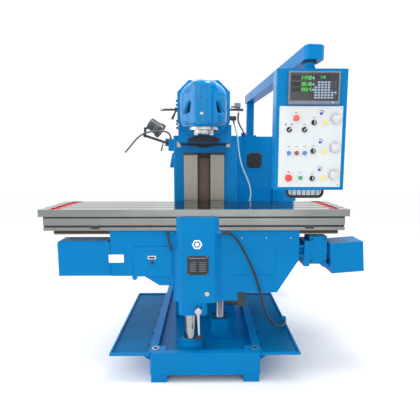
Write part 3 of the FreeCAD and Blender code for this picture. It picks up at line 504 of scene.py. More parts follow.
@dataclass(frozen=True)
class Glow:
    """A lit or translucent marker with a slight variation across it."""

    name: str
    colour: Colour
    strength: float = 1.0
    roughness: float = 0.3

    def make(self) -> bpy.types.Material:
        """Builds the material."""
        graph = Graph(self.name, Roughness=self.roughness, Emission_Strength=self.strength)
        cloud = graph.noise(60.0, 2.0)
        lit = graph.blend(cloud, shade(self.colour, 0.85), self.colour)
        return graph.drive(Base_Color=lit, Emission_Color=lit).material


class Finish(Enum):
    """Every finish on the machine."""

    CASTING = Enamel("casting_enamel", (0.0, 0.178, 0.445), 0.34, 0.05, 0.16, 0.12)
    HEAD_PAINT = Enamel("glossy_head_enamel", (0.0, 0.165, 0.41), 0.18, 0.28, 0.05, 0.14, 0.12)
    SHEET = Enamel("sheet_enamel", (0.0, 0.178, 0.445), 0.32, 0.05, 0.06, 0.07)
    # Darker blue with heavy mottle: oily dirt, plus painted shade and dark reflections in the recessed chip
    # trays.
    TRAY = Enamel("tray_enamel_oil_and_painted_shade", (0.0, 0.125, 0.29), 0.34, 0.03, 0.14, 0.6, 0.04)
    DEEP = Enamel("shadowed_enamel", (0.0, 0.030, 0.075), 0.4, 0.1, 0.1, 0.3, 0.1)
    RED = Enamel("red_enamel", (0.50, 0.012, 0.010), 0.34, 0.3, 0.12, 0.14)
    PANEL = Enamel("panel_enamel", (0.65, 0.69, 0.70), 0.42, 0.15, 0.04, 0.03, 0.3)
    WHITE = Enamel("white_enamel", (0.82, 0.84, 0.86), 0.4, 0.2, 0.04, 0.03)
    STEEL = GroundSteel("ground_table_steel", (0.275, 0.285, 0.28), 0.13, streaks=0.08, contrast=0.5)
    WAY = GroundSteel("scraped_way_steel", (0.265, 0.252, 0.22), 0.32, (60.0, 60.0, 1.0), 0.2, 0.6)
    RING = GroundSteel("turned_ring_steel", (0.52, 0.52, 0.50), 0.24, (60.0, 60.0, 6.0), 0.15, 0.4)
    POST = GroundSteel("ground_post_steel", (0.36, 0.36, 0.35), 0.14, (40.0, 40.0, 0.8), 0.1, 0.7)
    GROOVE = Moulded("groove_shadow", (0.012, 0.010, 0.008), 0.5, 300.0, 0.1)
    # Near-black brown steel: oily steel, darkened further as painted shade under the table's flange.
    UNDERSIDE = GroundSteel("underside_steel_oil_and_painted_shade", (0.075, 0.055, 0.040), 0.5, contrast=0.5)
    RECESS_STEEL = GroundSteel("oiled_recess_steel", (0.125, 0.095, 0.070), 0.42, (60.0, 60.0, 1.0), 0.2, 0.4)
    SCREW = GroundSteel("turned_steel", (0.5, 0.5, 0.5), 0.28, (60.0, 60.0, 6.0), 0.15)
    CHROME = Plating("chrome_plate", (0.52, 0.53, 0.54))
    CHROME_KNOB = Plating("satin_knob", (0.72, 0.73, 0.74), 0.16)
    BRASS = Plating("brass_plug", (0.80, 0.62, 0.26), 0.14)
    BLACK = Moulded("black_plastic", (0.012, 0.012, 0.014))
    BLACK_STEEL = Moulded("blacked_steel", (0.020, 0.021, 0.024), 0.36, 500.0, 0.08, 0.1)
    RUBBER = Moulded("black_rubber", (0.010, 0.010, 0.011), 0.55, 700.0, 0.2)
    HOSE = Moulded("pale_hose", (0.50, 0.62, 0.68), 0.34, 600.0, 0.06, 0.2)
    LAMP = Moulded("lamp_shell", (0.055, 0.065, 0.078), 0.4, 400.0, 0.15, 0.1)
    PIPE = Moulded("oiled_pipe", (0.085, 0.085, 0.078), 0.34, 300.0, 0.05, 0.2)
    BEZEL = Moulded("grey_bezel", (0.16, 0.18, 0.22), 0.4, 800.0, 0.08)
    SCREEN = Moulded("dark_screen", (0.012, 0.014, 0.018), 0.18, 300.0, 0.02, 0.5)
    KEY = Moulded("pale_key", (0.30, 0.38, 0.48), 0.42, 700.0, 0.06)
    DARK_KEY = Moulded("dark_key", (0.05, 0.06, 0.075), 0.42, 700.0, 0.06)
    STOP_RED = Moulded("stop_red", (0.74, 0.030, 0.020), 0.28, 500.0, 0.04, 0.4)
    ORANGE_RED = Moulded("orange_red", (0.90, 0.10, 0.045), 0.3, 500.0, 0.04, 0.4)
    DEEP_RED = Moulded("deep_red", (0.36, 0.030, 0.020), 0.28, 500.0, 0.04, 0.4)
    GREEN = Moulded("start_green", (0.010, 0.36, 0.12), 0.3, 500.0, 0.04, 0.4)
    BLUE = Moulded("button_blue", (0.045, 0.21, 0.62), 0.3, 500.0, 0.04, 0.4)
    DEEP_BLUE = Moulded("knob_blue", (0.02, 0.055, 0.36), 0.3, 500.0, 0.04, 0.4)
    AMBER = Moulded("amber_lens", (0.86, 0.60, 0.06), 0.22, 300.0, 0.04, 0.6)
    DIAL = Moulded("dial_face", (0.60, 0.62, 0.64), 0.24, 500.0, 0.04, 0.5)
    MOTOR = Cast("motor_casting", (0.020, 0.034, 0.048), 0.5)
    DIGIT = Glow("green_digits", (0.10, 0.85, 0.12), 1.1)
    LENS = Glow("lamp_glass", (0.85, 0.88, 0.86), 0.25, 0.12)

    def material(self) -> bpy.types.Material:
        """The finish's material, made once."""
        return bpy.data.materials.get(self.value.name) or self.value.make()


def dress(finish: Finish, *nodes: str) -> None:
    """Gives carried-over nodes a finish in place of their plain one."""
    for name in nodes:
        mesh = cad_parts[name].data
        mesh.materials.clear()
        mesh.materials.append(finish.material())
        LOG.info("%s wears %s", name, finish.value.name)


def corners(node: str) -> tuple[np.ndarray, np.ndarray]:
    """Lowest and highest corner of a node, as arrays."""
    low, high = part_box(node)
    return np.array(low), np.array(high)


def screw(radius: float, height: float) -> list[tuple[float, float]]:
    """Section of a socket-head screw: a chamfered head with a recess in its face."""
    return [(radius, 0.0), (radius, height * 0.8), (radius * 0.86, height), (radius * 0.52, height),
            (radius * 0.46, height * 0.45)]


def dome(radius: float, height: float, steps: int = 6) -> list[tuple[float, float]]:
    """Section of a round cap: a quarter ellipse above a short wall."""
    angle = np.linspace(0, math.pi / 2 * 0.96, steps)
    return [(radius, 0.0), *zip((radius * np.cos(angle)).tolist(),
                                (height * (0.3 + 0.7 * np.sin(angle))).tolist())]


def rim(inner: float, outer: float, height: float, edge: float = 0.0008) -> list[tuple[float, float]]:
    """Section of a flat ring with its two outer corners eased."""
    return [(inner, 0.0), (outer, 0.0), (outer, height - edge), (outer - edge, height),
            (inner + edge, height),
            (inner, height - edge)]


# ---- floor, lights and camera ---------------------------------------------------------------
@dataclass
class Studio:
    """A pale floor, soft lights and the camera."""

    eye: tuple[float, float, float] = (0.0, -2.992, 1.448)
    tilt: float = 82.4
    swing: float = -0.77
    lens: float = 32.06
    floor_half: float = 14.0
    lamps: tuple[tuple[str, tuple[float, float, float], float, float], ...] = (
        ("key", (-2.6, -3.4, 3.6), 2.4, 24.0),
        ("fill", (3.2, -2.6, 2.4), 2.8, 8.0),
        ("left", (-4.4, -0.6, 1.9), 3.0, 80.0),
        ("rim", (0.4, 3.6, 3.4), 3.0, 24.0),
        ("front", (0.3, -9.0, 1.5), 5.0, 60.0),
        ("cabinet", (0.55, -0.75, 3.4), 0.9, 44.0),
    )
    aim: tuple[float, float, float] = (0.0, -0.1, 1.0)

    def build(self) -> None:
        """Makes the camera, the world, the lights and the floor."""
        data = bpy.data.cameras.new("camera")
        data.lens, data.sensor_width = self.lens, 36.0
        camera = bpy.data.objects.new("camera", data)
        camera.location = self.eye
        camera.rotation_euler = (math.radians(self.tilt), 0.0, math.radians(self.swing))
        bpy.context.scene.collection.objects.link(camera)
        bpy.context.scene.camera = camera
        world = bpy.data.worlds.new("studio")
        world.use_nodes = True
        sky = next(n for n in world.node_tree.nodes if n.type == "BACKGROUND")
        sky.inputs["Color"].default_value = (0.985, 0.99, 1.0, 1.0)
        sky.inputs["Strength"].default_value = 1.04
        bpy.context.scene.world = world
        bpy.context.scene.view_settings.view_transform = "Standard"
        for name, place, size, power in self.lamps:
            self._lamp(name, place, size, power)
        self._floor()

    def _lamp(self, name: str, place: Point, size: float, power: float) -> None:
        """Adds one square area light aimed at the machine."""
        data = bpy.data.lights.new(name, "AREA")
        data.size, data.energy = size, power
        lamp = bpy.data.objects.new(name, data)
        lamp.location = place
        lamp.rotation_euler = (Vector(self.aim) - Vector(place)).to_track_quat("-Z", "Y").to_euler()
        bpy.context.scene.collection.objects.link(lamp)

    def _floor(self) -> None:
        """Lays the floor just under the feet."""
        half = self.floor_half
        mesh = bpy.data.meshes.new("floor")
        mesh.from_pydata([(-half, -half, 0), (half, -half, 0), (half, half, 0), (-half, half, 0)], [],
                         [(0, 1, 2, 3)])
        graph = Graph("pale_floor", Roughness=0.85)
        speck = graph.noise(3.0, 3.0)
        graph.drive(Base_Color=graph.blend(speck, (0.93, 0.935, 0.94), (0.95, 0.955, 0.96)))
        mesh.materials.append(graph.material)
        floor = bpy.data.objects.new("floor", mesh)
        floor.location = (0.0, 0.0, -0.0005)
        bpy.context.scene.collection.objects.link(floor)


# ---- cords ----------------------------------------------------------------------------------
@dataclass
class Cord:
    """A hose or cable along its own smooth line."""

    name: str
    route: tuple[tuple[float, float, float], ...]
    length: float
    diameter: float
    finish: Finish
    bodies: tuple[str, str]
    turn_start: tuple[float, float, float]
    turn_end: tuple[float, float, float]
    stiffness: str = "stiff"

    def line(self) -> np.ndarray:
        """Points read from the route's own smooth line."""
        data = bpy.data.curves.new(self.name + "_line", "CURVE")
        data.dimensions, data.resolution_u = "3D", 6
        spline = data.splines.new("NURBS")
        spline.points.add(len(self.route) - 1)
        spline.points.foreach_set("co", [value for point in self.route for value in (*point, 1.0)])
        spline.order_u = 3
        spline.use_endpoint_u = True
        holder = bpy.data.objects.new(self.name + "_line", data)
        bpy.context.scene.collection.objects.link(holder)
        bpy.context.view_layer.update()
        mesh = bpy.data.meshes.new_from_object(holder)
        points = np.empty(len(mesh.vertices) * 3)
        mesh.vertices.foreach_get("co", points)
        bpy.data.objects.remove(holder)
        return points.reshape(-1, 3)

    def build(self) -> bpy.types.Object:
        line = self.line()
        piece = Surface().tube(line, self.diameter / 2, 16).build(self.name + "_tube", self.finish.material(),
                                                                  None)
        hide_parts(self.name)
        if self.bodies[0] == self.bodies[1]:
            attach(piece, self.bodies[0])
        else:
            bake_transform(piece)
        return piece


KNEE_CABLE = Cord(
    "knee_cable",
    ((0.1125, -0.628, 0.985), (0.150, -0.6285, 0.984), (0.190, -0.629, 0.959), (0.224, -0.630, 0.912),
     (0.262, -0.630, 0.845), (0.300, -0.629, 0.768), (0.332, -0.626, 0.688), (0.356, -0.621, 0.608),
     (0.376, -0.616, 0.530), (0.396, -0.604, 0.462), (0.424, -0.580, 0.396), (0.458, -0.546, 0.340),
     (0.498, -0.500, 0.294), (0.540, -0.444, 0.262), (0.575, -0.385, 0.243), (0.596, -0.325, 0.232),
     (0.602, -0.262, 0.228)),
    1.127, 0.014, Finish.RUBBER, ("frame", "knee"), (0.50, -0.50, 0.29), (0.30, -0.627, 0.77))
HEAD_HOSE = Cord(
    "head_hose",
    ((0.240, -0.262, 1.784), (0.238, -0.254, 1.760), (0.240, -0.222, 1.740), (0.248, -0.165, 1.729),
     (0.260, -0.090, 1.722), (0.277, 0.010, 1.715), (0.299, 0.130, 1.707), (0.323, 0.270, 1.700),
     (0.345, 0.410, 1.696), (0.362, 0.540, 1.694), (0.372, 0.630, 1.695), (0.376, 0.700, 1.697)),
    0.996, 0.012, Finish.RUBBER, ("ram", "frame"), (0.24, -0.222, 1.74), (0.372, 0.63, 1.695))
LUBE_HOSE = Cord(
    "lube_hose",
    ((0.224, 0.020, 1.757), (0.232, 0.024, 1.730), (0.245, 0.029, 1.690), (0.258, 0.034, 1.640),
     (0.266, 0.040, 1.575), (0.273, 0.046, 1.510), (0.284, 0.052, 1.448), (0.302, 0.060, 1.388),
     (0.330, 0.069, 1.330), (0.356, 0.076, 1.272), (0.372, 0.084, 1.218), (0.379, 0.090, 1.160),
     (0.370, 0.094, 1.112), (0.344, 0.096, 1.074), (0.306, 0.096, 1.052), (0.263, 0.096, 1.050)),
    0.804, 0.012, Finish.HOSE, ("ram", "frame"), (0.232, 0.024, 1.73), (0.372, 0.084, 1.218))


# ---- plain finishes for the carried-over nodes ------------------------------------------------
@dataclass
class PlainFinishes:
    """Which finish each carried-over piece wears."""

    wear: dict[Finish, tuple[str, ...]] = field(default_factory=lambda: {
        Finish.CASTING: ("base", "column", "knee_casting", "knee_nose", "ram", "head_casting",
                         "chip_tray_left",
                         "chip_tray_right", "left_drive_box", "right_gearbox"),
        Finish.SHEET: ("cabinet", "cabinet_door", "pendant_post", "pendant_arm", "pendant_box",
                       "right_motor_box",
                       "gauge_cover"),
        Finish.RED: ("end_troughs",),
        Finish.STEEL: ("table",),
        Finish.WAY: ("column_ways",),
        Finish.RING: ("spindle_ring", "head_cap"),
        Finish.POST: ("support_post",),
        Finish.SCREW: ("lift_screw", "table_screw", "spindle", "spindle_bearings"),
        Finish.CHROME: ("cross_shaft", "post_clamp_lever", "pendant_handle", "knee_lock_lever"),
        Finish.PIPE: ("coolant_pipe",),
        Finish.BLACK_STEEL: ("lamp_arm", "stop_dogs"),
        Finish.LAMP: ("lamp_head",),
        Finish.MOTOR: ("spindle_motor", "lift_motor"),
        Finish.PANEL: ("control_panel",),
        Finish.BEZEL: ("readout",),
        Finish.BLACK: ("mode_selector", "coolant_selector", "axis_selector_1", "axis_selector_2",
                       "axis_selector_3"),
        Finish.CHROME_KNOB: ("feed_dial_1", "feed_dial_2", "feed_dial_3"),
        Finish.DEEP_BLUE: ("rate_knob_1", "rate_knob_2", "rate_knob_3"),
        Finish.ORANGE_RED: ("estop_button",),
        Finish.STOP_RED: ("stop_button",),
        Finish.DEEP_RED: ("jog_stop_button",),
        Finish.GREEN: ("start_button",),
        Finish.BLUE: ("jog_left_button", "jog_right_button"),
        Finish.AMBER: ("pilot_lamps",),
    })

    def build(self) -> None:
        """Dresses every node."""
        for finish, nodes in self.wear.items():
            dress(finish, *nodes)



# ---- control pendant --------------------------------------------------------------------------
class Segment(Enum):
    """The seven bars of a digit, as centre across, centre up, half width and half height of a unit digit."""

    TOP = (0.0, 1.0, 0.42, 0.09)
    MIDDLE = (0.0, 0.0, 0.42, 0.09)
    BOTTOM = (0.0, -1.0, 0.42, 0.09)
    UPPER_LEFT = (-0.5, 0.5, 0.09, 0.38)
    UPPER_RIGHT = (0.5, 0.5, 0.09, 0.38)
    LOWER_LEFT = (-0.5, -0.5, 0.09, 0.38)
    LOWER_RIGHT = (0.5, -0.5, 0.09, 0.38)


LIT = {
    "0": "TOP BOTTOM UPPER_LEFT UPPER_RIGHT LOWER_LEFT LOWER_RIGHT",
    "1": "UPPER_RIGHT LOWER_RIGHT",
    "2": "TOP MIDDLE BOTTOM UPPER_RIGHT LOWER_LEFT",
    "5": "TOP MIDDLE BOTTOM UPPER_LEFT LOWER_RIGHT",
    "8": "TOP MIDDLE BOTTOM UPPER_LEFT UPPER_RIGHT LOWER_LEFT LOWER_RIGHT",
}


@dataclass
class ReadoutFace:
    """The position readout: a raised bezel, dark windows with green digits and a keypad."""

    body: str = "pendant_box"
    bezel: float = 0.0085
    window_rise: float = 0.0006
    digit_half_height: float = 0.0082
    digit_pitch: float = 0.0098
    rows: tuple[tuple[float, str], ...] = ((0.806, "0125.80"), (0.617, "0051.28"), (0.452, "0002.15"))
    keys_across: int = 7
    keys_down: int = 7

    def build(self) -> None:
        """Makes the bezel, windows, digits and keys."""
        low, high = corners("readout")
        size = high - low
        self.low, self.size, self.face = low, size, low[1]
        Surface().block((low[0], self.face - 0.0035, low[2]),
                        (high[0], self.face + 0.004, low[2] + self.bezel * 2.2)) \
            .block((low[0], self.face - 0.0035, high[2] - self.bezel),
                   (high[0], self.face + 0.004, high[2])) \
            .block((low[0], self.face - 0.0034, low[2] + 0.004),
                   (low[0] + self.bezel, self.face + 0.004, high[2] - 0.004)) \
            .block((high[0] - self.bezel, self.face - 0.0034, low[2] + 0.004),
                   (high[0], self.face + 0.004, high[2] - 0.004)) \
            .build("readout_bezel", Finish.BEZEL.material(), self.body)
        self._plate("readout_glass", 0.03, 0.97, 0.115, 0.965, 0.0004, Finish.SCREEN)
        windows = Surface()
        for height, _ in self.rows:
            self._slab(windows, 0.055, 0.45, height - 0.066, height + 0.066, self.window_rise + 0.0003)
        self._slab(windows, 0.50, 0.79, 0.765, 0.875, self.window_rise + 0.0003)
        windows.build("readout_windows", Finish.BLACK.material(), self.body)
        digits = Surface()
        for height, text in self.rows:
            self._digits(digits, text, 0.43, height, 1.0)
        self._digits(digits, "0120", 0.70, 0.82, 0.72)
        digits.build("readout_digits", Finish.DIGIT.material(), self.body, smooth=False)
        self._keys()

    def _slab(self, surface: Surface, left: float, right: float, low: float, high: float,
              rise: float) -> None:
        """Adds a thin rounded slab on the face, its sides given as shares of the face."""
        x0, z0 = self.low[0], self.low[2]
        surface.block((x0 + left * self.size[0], self.face - rise, z0 + low * self.size[2]),
                      (x0 + right * self.size[0], self.face + 0.001, z0 + high * self.size[2]), 0.0003, 1)

    def _plate(self, name: str, left: float, right: float, low: float, high: float, rise: float,
               finish: Finish) -> None:
        """Makes one slab a piece of its own."""
        surface = Surface()
        self._slab(surface, left, right, low, high, rise)
        surface.build(name, finish.material(), self.body)

    def _digits(self, surface: Surface, text: str, right: float, height: float, scale: float) -> None:
        """Adds lit bars for a number that ends at a share of the width.

        Args:
            surface: gathers the bars.
            text: digits and at most one point.
            right: where the last digit stands, as a share of the width.
            height: middle of the digits, as a share of the height.
            scale: size against the large digits.
        """
        tall = self.digit_half_height * scale
        wide = tall * 0.42
        y = self.face - 0.0016
        x = self.low[0] + right * self.size[0]
        z = self.low[2] + height * self.size[2]
        for mark in reversed(text):
            if mark == ".":
                surface.block((x + wide * 1.25, y, z - tall * 1.1),
                              (x + wide * 1.6, y + 0.0008, z - tall * 0.85), 0.0002, 1)
                continue
            for bar in LIT[mark].split():
                across, up, half_wide, half_tall = Segment[bar].value
                surface.block((x + (across - half_wide) * wide * 2, y, z + (up - half_tall) * tall),
                              (x + (across + half_wide) * wide * 2, y + 0.0008, z + (up + half_tall) * tall),
                              0.0002, 1)
            x -= self.digit_pitch * scale

    def _keys(self) -> None:
        """Adds the keypad, the three axis keys and the lamp below."""
        pale, dark = Surface(), Surface()
        left, bottom = 0.50, 0.175
        pitch_x, pitch_z = 0.448 / self.keys_across, 0.545 / self.keys_down
        for row in range(self.keys_down):
            for column in range(self.keys_across):
                target = dark if (column >= 5 and row >= 3) or (row < 2 and column == 6) else pale
                if row >= 5 and column < 1:
                    continue
                self._slab(target, left + column * pitch_x, left + (column + 0.74) * pitch_x,
                           bottom + row * pitch_z, bottom + (row + 0.70) * pitch_z, 0.0024)
        for height, _ in self.rows:
            self._slab(pale, 0.462, 0.495, height - 0.045, height + 0.02, 0.0024)
        pale.build("readout_keys", Finish.KEY.material(), self.body)
        dark.build("readout_dark_keys", Finish.DARK_KEY.material(), self.body)
        Surface().turned(dome(0.003, 0.002), (self.low[0] + 0.865 * self.size[0], self.face - 0.0034,
                                              self.low[2] + 0.055 * self.size[2]), Axis.FRONT, 16) \
            .build("readout_lamp", Finish.LENS.material(), self.body)


@dataclass
class ControlPanel:
    """Collars, knobs, lenses, scales and blank legends on the pendant's panel."""

    body: str = "pendant_box"
    buttons: dict[str, Finish] = field(default_factory=lambda: {
        "estop_button": Finish.ORANGE_RED, "stop_button": Finish.STOP_RED, "start_button": Finish.GREEN,
        "jog_left_button": Finish.BLUE, "jog_stop_button": Finish.DEEP_RED, "jog_right_button": Finish.BLUE})
    selectors: tuple[str, ...] = ("mode_selector", "coolant_selector", "axis_selector_1", "axis_selector_2",
                                  "axis_selector_3")
    turned_selectors: tuple[str, ...] = ("mode_selector", "coolant_selector")
    collar: float = 0.0036
    clearance: float = 0.0006

    def build(self) -> None:
        """Makes everything on the panel."""
        self.face = corners("control_panel")[0][1]
        self._buttons()
        self._selectors()
        self._dials()
        self._lenses()
        self._marks()

    def _centre(self, node: str) -> tuple[float, float, float, float]:
        """Across, up, front and radius of a control."""
        low, high = corners(node)
        return (low[0] + high[0]) / 2, (low[2] + high[2]) / 2, low[1], (high[0] - low[0]) / 2

    def _buttons(self) -> None:
        """Gives each push-button a collar and a domed cap in place of the plain one."""
        collars = Surface()
        for node, finish in self.buttons.items():
            x, z, front, radius = self._centre(node)
            collars.ring(rim(radius + self.clearance, radius + self.collar, 0.0062), (x, self.face, z),
                         Axis.FRONT)
            rear = self.face - 0.0072
            depth = rear - front
            waist = [(0.005, -0.017), (0.005, 0.0)]
            if radius > 0.0155:
                head = [(radius * 0.66, 0.0), (radius * 0.62, depth * 0.45), (radius * 0.95, depth * 0.55),
                        (radius, depth * 0.72), (radius * 0.93, depth * 0.92), (radius * 0.72, depth)]
            else:
                head = [(radius, 0.0), (radius, depth * 0.7), (radius * 0.9, depth * 0.96),
                        (radius * 0.8, depth),
                        (radius * 0.72, depth * 0.90), (radius * 0.2, depth * 0.86)]
            cap = Surface().turned(waist + head, (x, rear, z), Axis.FRONT, 40).build(node + "_cap",
                                                                                     finish.material(), node)
            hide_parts(node)
        collars.build("button_collars", Finish.CHROME_KNOB.material(), self.body)

    def _selectors(self) -> None:
        """Gives each selector a collar on the panel and a pale pointer on its grip."""
        collars = Surface()
        for node in self.selectors:
            x, z, front = self._centre(node)[:3]
            collars.ring(rim(0.0134, 0.0155, 0.003), (x, self.face, z), Axis.FRONT)
            turn = 45.0 if node in self.turned_selectors else 0.0
            Surface().block((x - 0.0017, front - 0.0006, z - 0.0105),
                            (x + 0.0017, front + 0.0012, z + 0.0115),
                            0.0005, 2, turn).build(node + "_pointer", Finish.WHITE.material(), node)
        collars.build("selector_collars", Finish.BLACK_STEEL.material(), self.body)

    def _dials(self) -> None:
        """Makes the silver feed dials and the blue rate knobs, each with a mark that shows its turn."""
        plates, arcs = Surface(), Surface()
        for index in (1, 2, 3):
            node = f"feed_dial_{index}"
            x, z, front, radius = self._centre(node)
            depth = self.face - 0.0004 - front
            body = [(0.005, -0.014), (0.005, 0.0), (radius, 0.0), (radius, depth * 0.5),
                    (radius * 0.975, depth * 0.62),
                    (radius * 0.90, depth * 0.9), (radius * 0.87, depth), (radius * 0.80, depth),
                    (radius * 0.77, depth * 0.93),
                    (radius * 0.4, depth * 0.90)]
            knob = Surface().fluted(body, (x, self.face - 0.0004, z), Axis.FRONT, 40, 0.022, 160) \
                .build(node + "_knob", Finish.CHROME_KNOB.material(), node)
            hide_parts(node)
            Surface().turned([(radius * 0.765, 0.0), (radius * 0.765, 0.0006), (radius * 0.75, 0.0009)],
                             (x, front + depth * 0.09, z), Axis.FRONT, 48) \
                .build(node + "_face", Finish.DIAL.material(), node)
            Surface().block((x - 0.0008, front + 0.0004, z + radius * 0.42),
                            (x + 0.0008, front + 0.0012, z + radius * 0.74),
                            0.0003, 1).build(node + "_mark", Finish.BLACK.material(), node)
            node = f"rate_knob_{index}"
            x, z, front, radius = self._centre(node)
            depth = self.face - 0.0004 - front
            knob = Surface().fluted([(0.005, -0.014), (0.005, 0.0), (radius, 0.0),
                                     (radius * 0.93, depth * 0.75),
                                     (radius * 0.82, depth), (radius * 0.3, depth * 0.97)],
                                    (x, self.face - 0.0004, z), Axis.FRONT, 12, 0.10, 96) \
                .build(node + "_cap", Finish.DEEP_BLUE.material(), node)
            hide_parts(node)
            Surface().block((x - 0.0006, front - 0.0002, z + radius * 0.2),
                            (x + 0.0006, front + 0.002, z + radius * 0.8),
                            0.0003, 1).build(node + "_mark", Finish.WHITE.material(), node)
            plates.ring(rim(radius + 0.0006, radius + 0.0065, 0.0012, 0.0003), (x, self.face, z), Axis.FRONT)
            turn = np.radians(np.linspace(60.0, 165.0, 9))
            outer = [(-math.cos(a) * 0.0185, math.sin(a) * 0.0185) for a in turn]
            inner = [(px * 0.82, pz * 0.82) for px, pz in reversed(outer)]
            points = [(x + px, z + pz) for px, pz in outer + inner]
            rear = np.array([(px, self.face + 0.0004, pz) for px, pz in points])
            arcs.grid(np.stack([rear, rear + np.array([0.0, -0.0011, 0.0])]))
        plates.build("rate_knob_plates", Finish.WHITE.material(), self.body)
        arcs.build("rate_scales", Finish.DARK_KEY.material(), self.body, smooth=False)

    def _lenses(self) -> None:
        """Makes the square amber lenses."""
        low, high = corners("pilot_lamps")
        x = (low[0] + high[0]) / 2
        front = low[1]
        lenses = Surface()
        for index in (1, 2, 3):
            z = self._centre(f"axis_selector_{index}")[1]
            lenses.block((x - 0.0098, front + 0.0006, z - 0.0098), (x + 0.0098, self.face, z + 0.0098),
                         0.0022, 3)
        piece = lenses.build("pilot_lenses", Finish.AMBER.material(), self.body)
        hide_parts("pilot_lamps")

    def _marks(self) -> None:
        """Adds corner screws, small lamps and blank legend strips."""
        low, high = corners("control_panel")
        screws = Surface()
        for x in (low[0] + 0.012, high[0] - 0.012):
            for z in (low[2] + 0.012, high[2] - 0.012):
                screws.turned(screw(0.0042, 0.0026), (x, self.face, z), Axis.FRONT, 18)
        screws.build("panel_screws", Finish.CHROME.material(), self.body)
        dots, red = Surface(), Surface()
        x, z = self._centre("mode_selector")[:2]
        for offset in (-0.020, 0.013):
            dots.turned(dome(0.0042, 0.0026), (x + offset, self.face, z + 0.030), Axis.FRONT, 16)
        x, z = self._centre("stop_button")[:2]
        red.turned(dome(0.0045, 0.0030), (x, self.face, z + 0.035), Axis.FRONT, 16)
        dots.build("mode_lamps", Finish.DARK_KEY.material(), self.body)
        red.build("stop_lamp", Finish.DEEP_RED.material(), self.body)
        legends = Surface()
        for node, rise in (("estop_button", 0.030), ("jog_left_button", 0.036), ("jog_stop_button", 0.036),
                           ("jog_right_button", 0.036), ("axis_selector_1", 0.029),
                           ("axis_selector_2", 0.029),
                           ("axis_selector_3", 0.029), ("start_button", 0.030), ("coolant_selector", 0.030)):
            x, z = self._centre(node)[:2]
            legends.block((x - 0.0075, self.face - 0.0004, z + rise - 0.0016),
                          (x + 0.0075, self.face + 0.0003, z + rise + 0.0016),
                          0.0002, 1)
        for index in (1, 2, 3):
            x, z, _, radius = self._centre(f"feed_dial_{index}")
            for step in range(11):
                angle = math.radians(-135 + step * 27)
                px, pz = x + math.sin(angle) * (radius + 0.006), z + math.cos(angle) * (radius + 0.006)
                legends.block((px - 0.0006, self.face - 0.0003, pz - 0.002),
                              (px + 0.0006, self.face + 0.0003, pz + 0.002),
                              0.0002, 1, math.degrees(angle))
        legends.build("panel_legends", Finish.BEZEL.material(), self.body)


@dataclass
class PendantCase:
    """The handle, the slotted plate behind it and the case's rear cover."""

    body: str = "pendant_box"
    slats: int = 7

    def build(self) -> None:
        """Blacks the handle and makes the slot plate, the slats, the rear cover and its screws, the side
        vents and the arm's caps.
        """
        low, high = corners("pendant_handle")
        case_low, case_high = corners("pendant_box")
        dress(Finish.BLACK, "pendant_handle")
        top = low[2] + 0.054
        plate = Surface().block((low[0] + 0.012, high[1] + 0.018, low[2] + 0.012),
                                (high[0] - 0.012, high[1] + 0.022, top + 0.004),
                                0.0015)
        plate.build("slot_plate", Finish.DARK_KEY.material(), self.body)
        slats = Surface()
        edges = np.linspace(low[0] + 0.014, high[0] - 0.014, self.slats + 1)
        for left, right in zip(edges[:-1], edges[1:]):
            slats.block((left + 0.0025, high[1] + 0.013, low[2] + 0.015),
                        (right - 0.0025, high[1] + 0.019, top + 0.002), 0.001, 2)
        slats.build("slot_slats", Finish.WHITE.material(), self.body)
        cover = Surface().block((case_low[0] + 0.022, case_high[1] - 0.001, case_low[2] + 0.025),
                                (case_high[0] - 0.022, case_high[1] + 0.0022, case_low[2] + 0.655), 0.0018)
        cover.build("case_cover", Finish.SHEET.material(), self.body)
        screws = Surface()
        for x in (case_low[0] + 0.036, case_high[0] - 0.036):
            for z in np.linspace(case_low[2] + 0.045, case_low[2] + 0.635, 4):
                screws.turned(screw(0.0048, 0.0035), (x, case_high[1] + 0.0020, z), Axis.Y, 16)
        screws.build("case_screws", Finish.CHROME.material(), self.body)
        seam = Surface()
        for x in (case_low[0] - 0.0004, case_high[0] - 0.0004):
            for z in np.linspace(case_low[2] + 0.09, case_low[2] + 0.59, 5):
                seam.block((x, case_low[1] + 0.035, z), (x + 0.0008, case_low[1] + 0.085, z + 0.004), 0.0003,
                           1)
        seam.build("case_vents", Finish.DEEP.material(), self.body)
        self._arm()

    def _arm(self) -> None:
        """Caps the arm's two pivots and seals the joint above the case."""
        arm_low, arm_high = corners("pendant_arm")
        post_low, post_high = corners("pendant_post")
        centres = ((0.597, -0.765), ((post_low[0] + post_high[0]) / 2, (post_low[1] + post_high[1]) / 2))
        caps = Surface()
        for x, y in centres:
            caps.turned([(0.030, -0.002), (0.030, 0.0008), (0.027, 0.0022), (0.012, 0.0024)],
                        (x, y, arm_high[2] - 0.0026), Axis.Z, 40)
        caps.build("pivot_caps", Finish.DEEP.material(), "pendant_arm")
        seals = Surface().ring([(0.0335, 0.0), (0.042, 0.0), (0.044, -0.004), (0.042, -0.010),
                                (0.0335, -0.010)],
                               (0.597, -0.765, arm_low[2] - 0.0006), Axis.Z, 40)
        seals.build("pivot_seal", Finish.RUBBER.material(), self.body)


# ---- head and ram -----------------------------------------------------------------------------
def smooth_max(first: np.ndarray, second: np.ndarray, blend: float) -> np.ndarray:
    """The larger of two, eased where they meet.

    Half their sum plus half the root of their squared gap and the blend.
    """
    return (first + second + np.sqrt((first - second) ** 2 + blend ** 2) - blend * 0.2) / 2


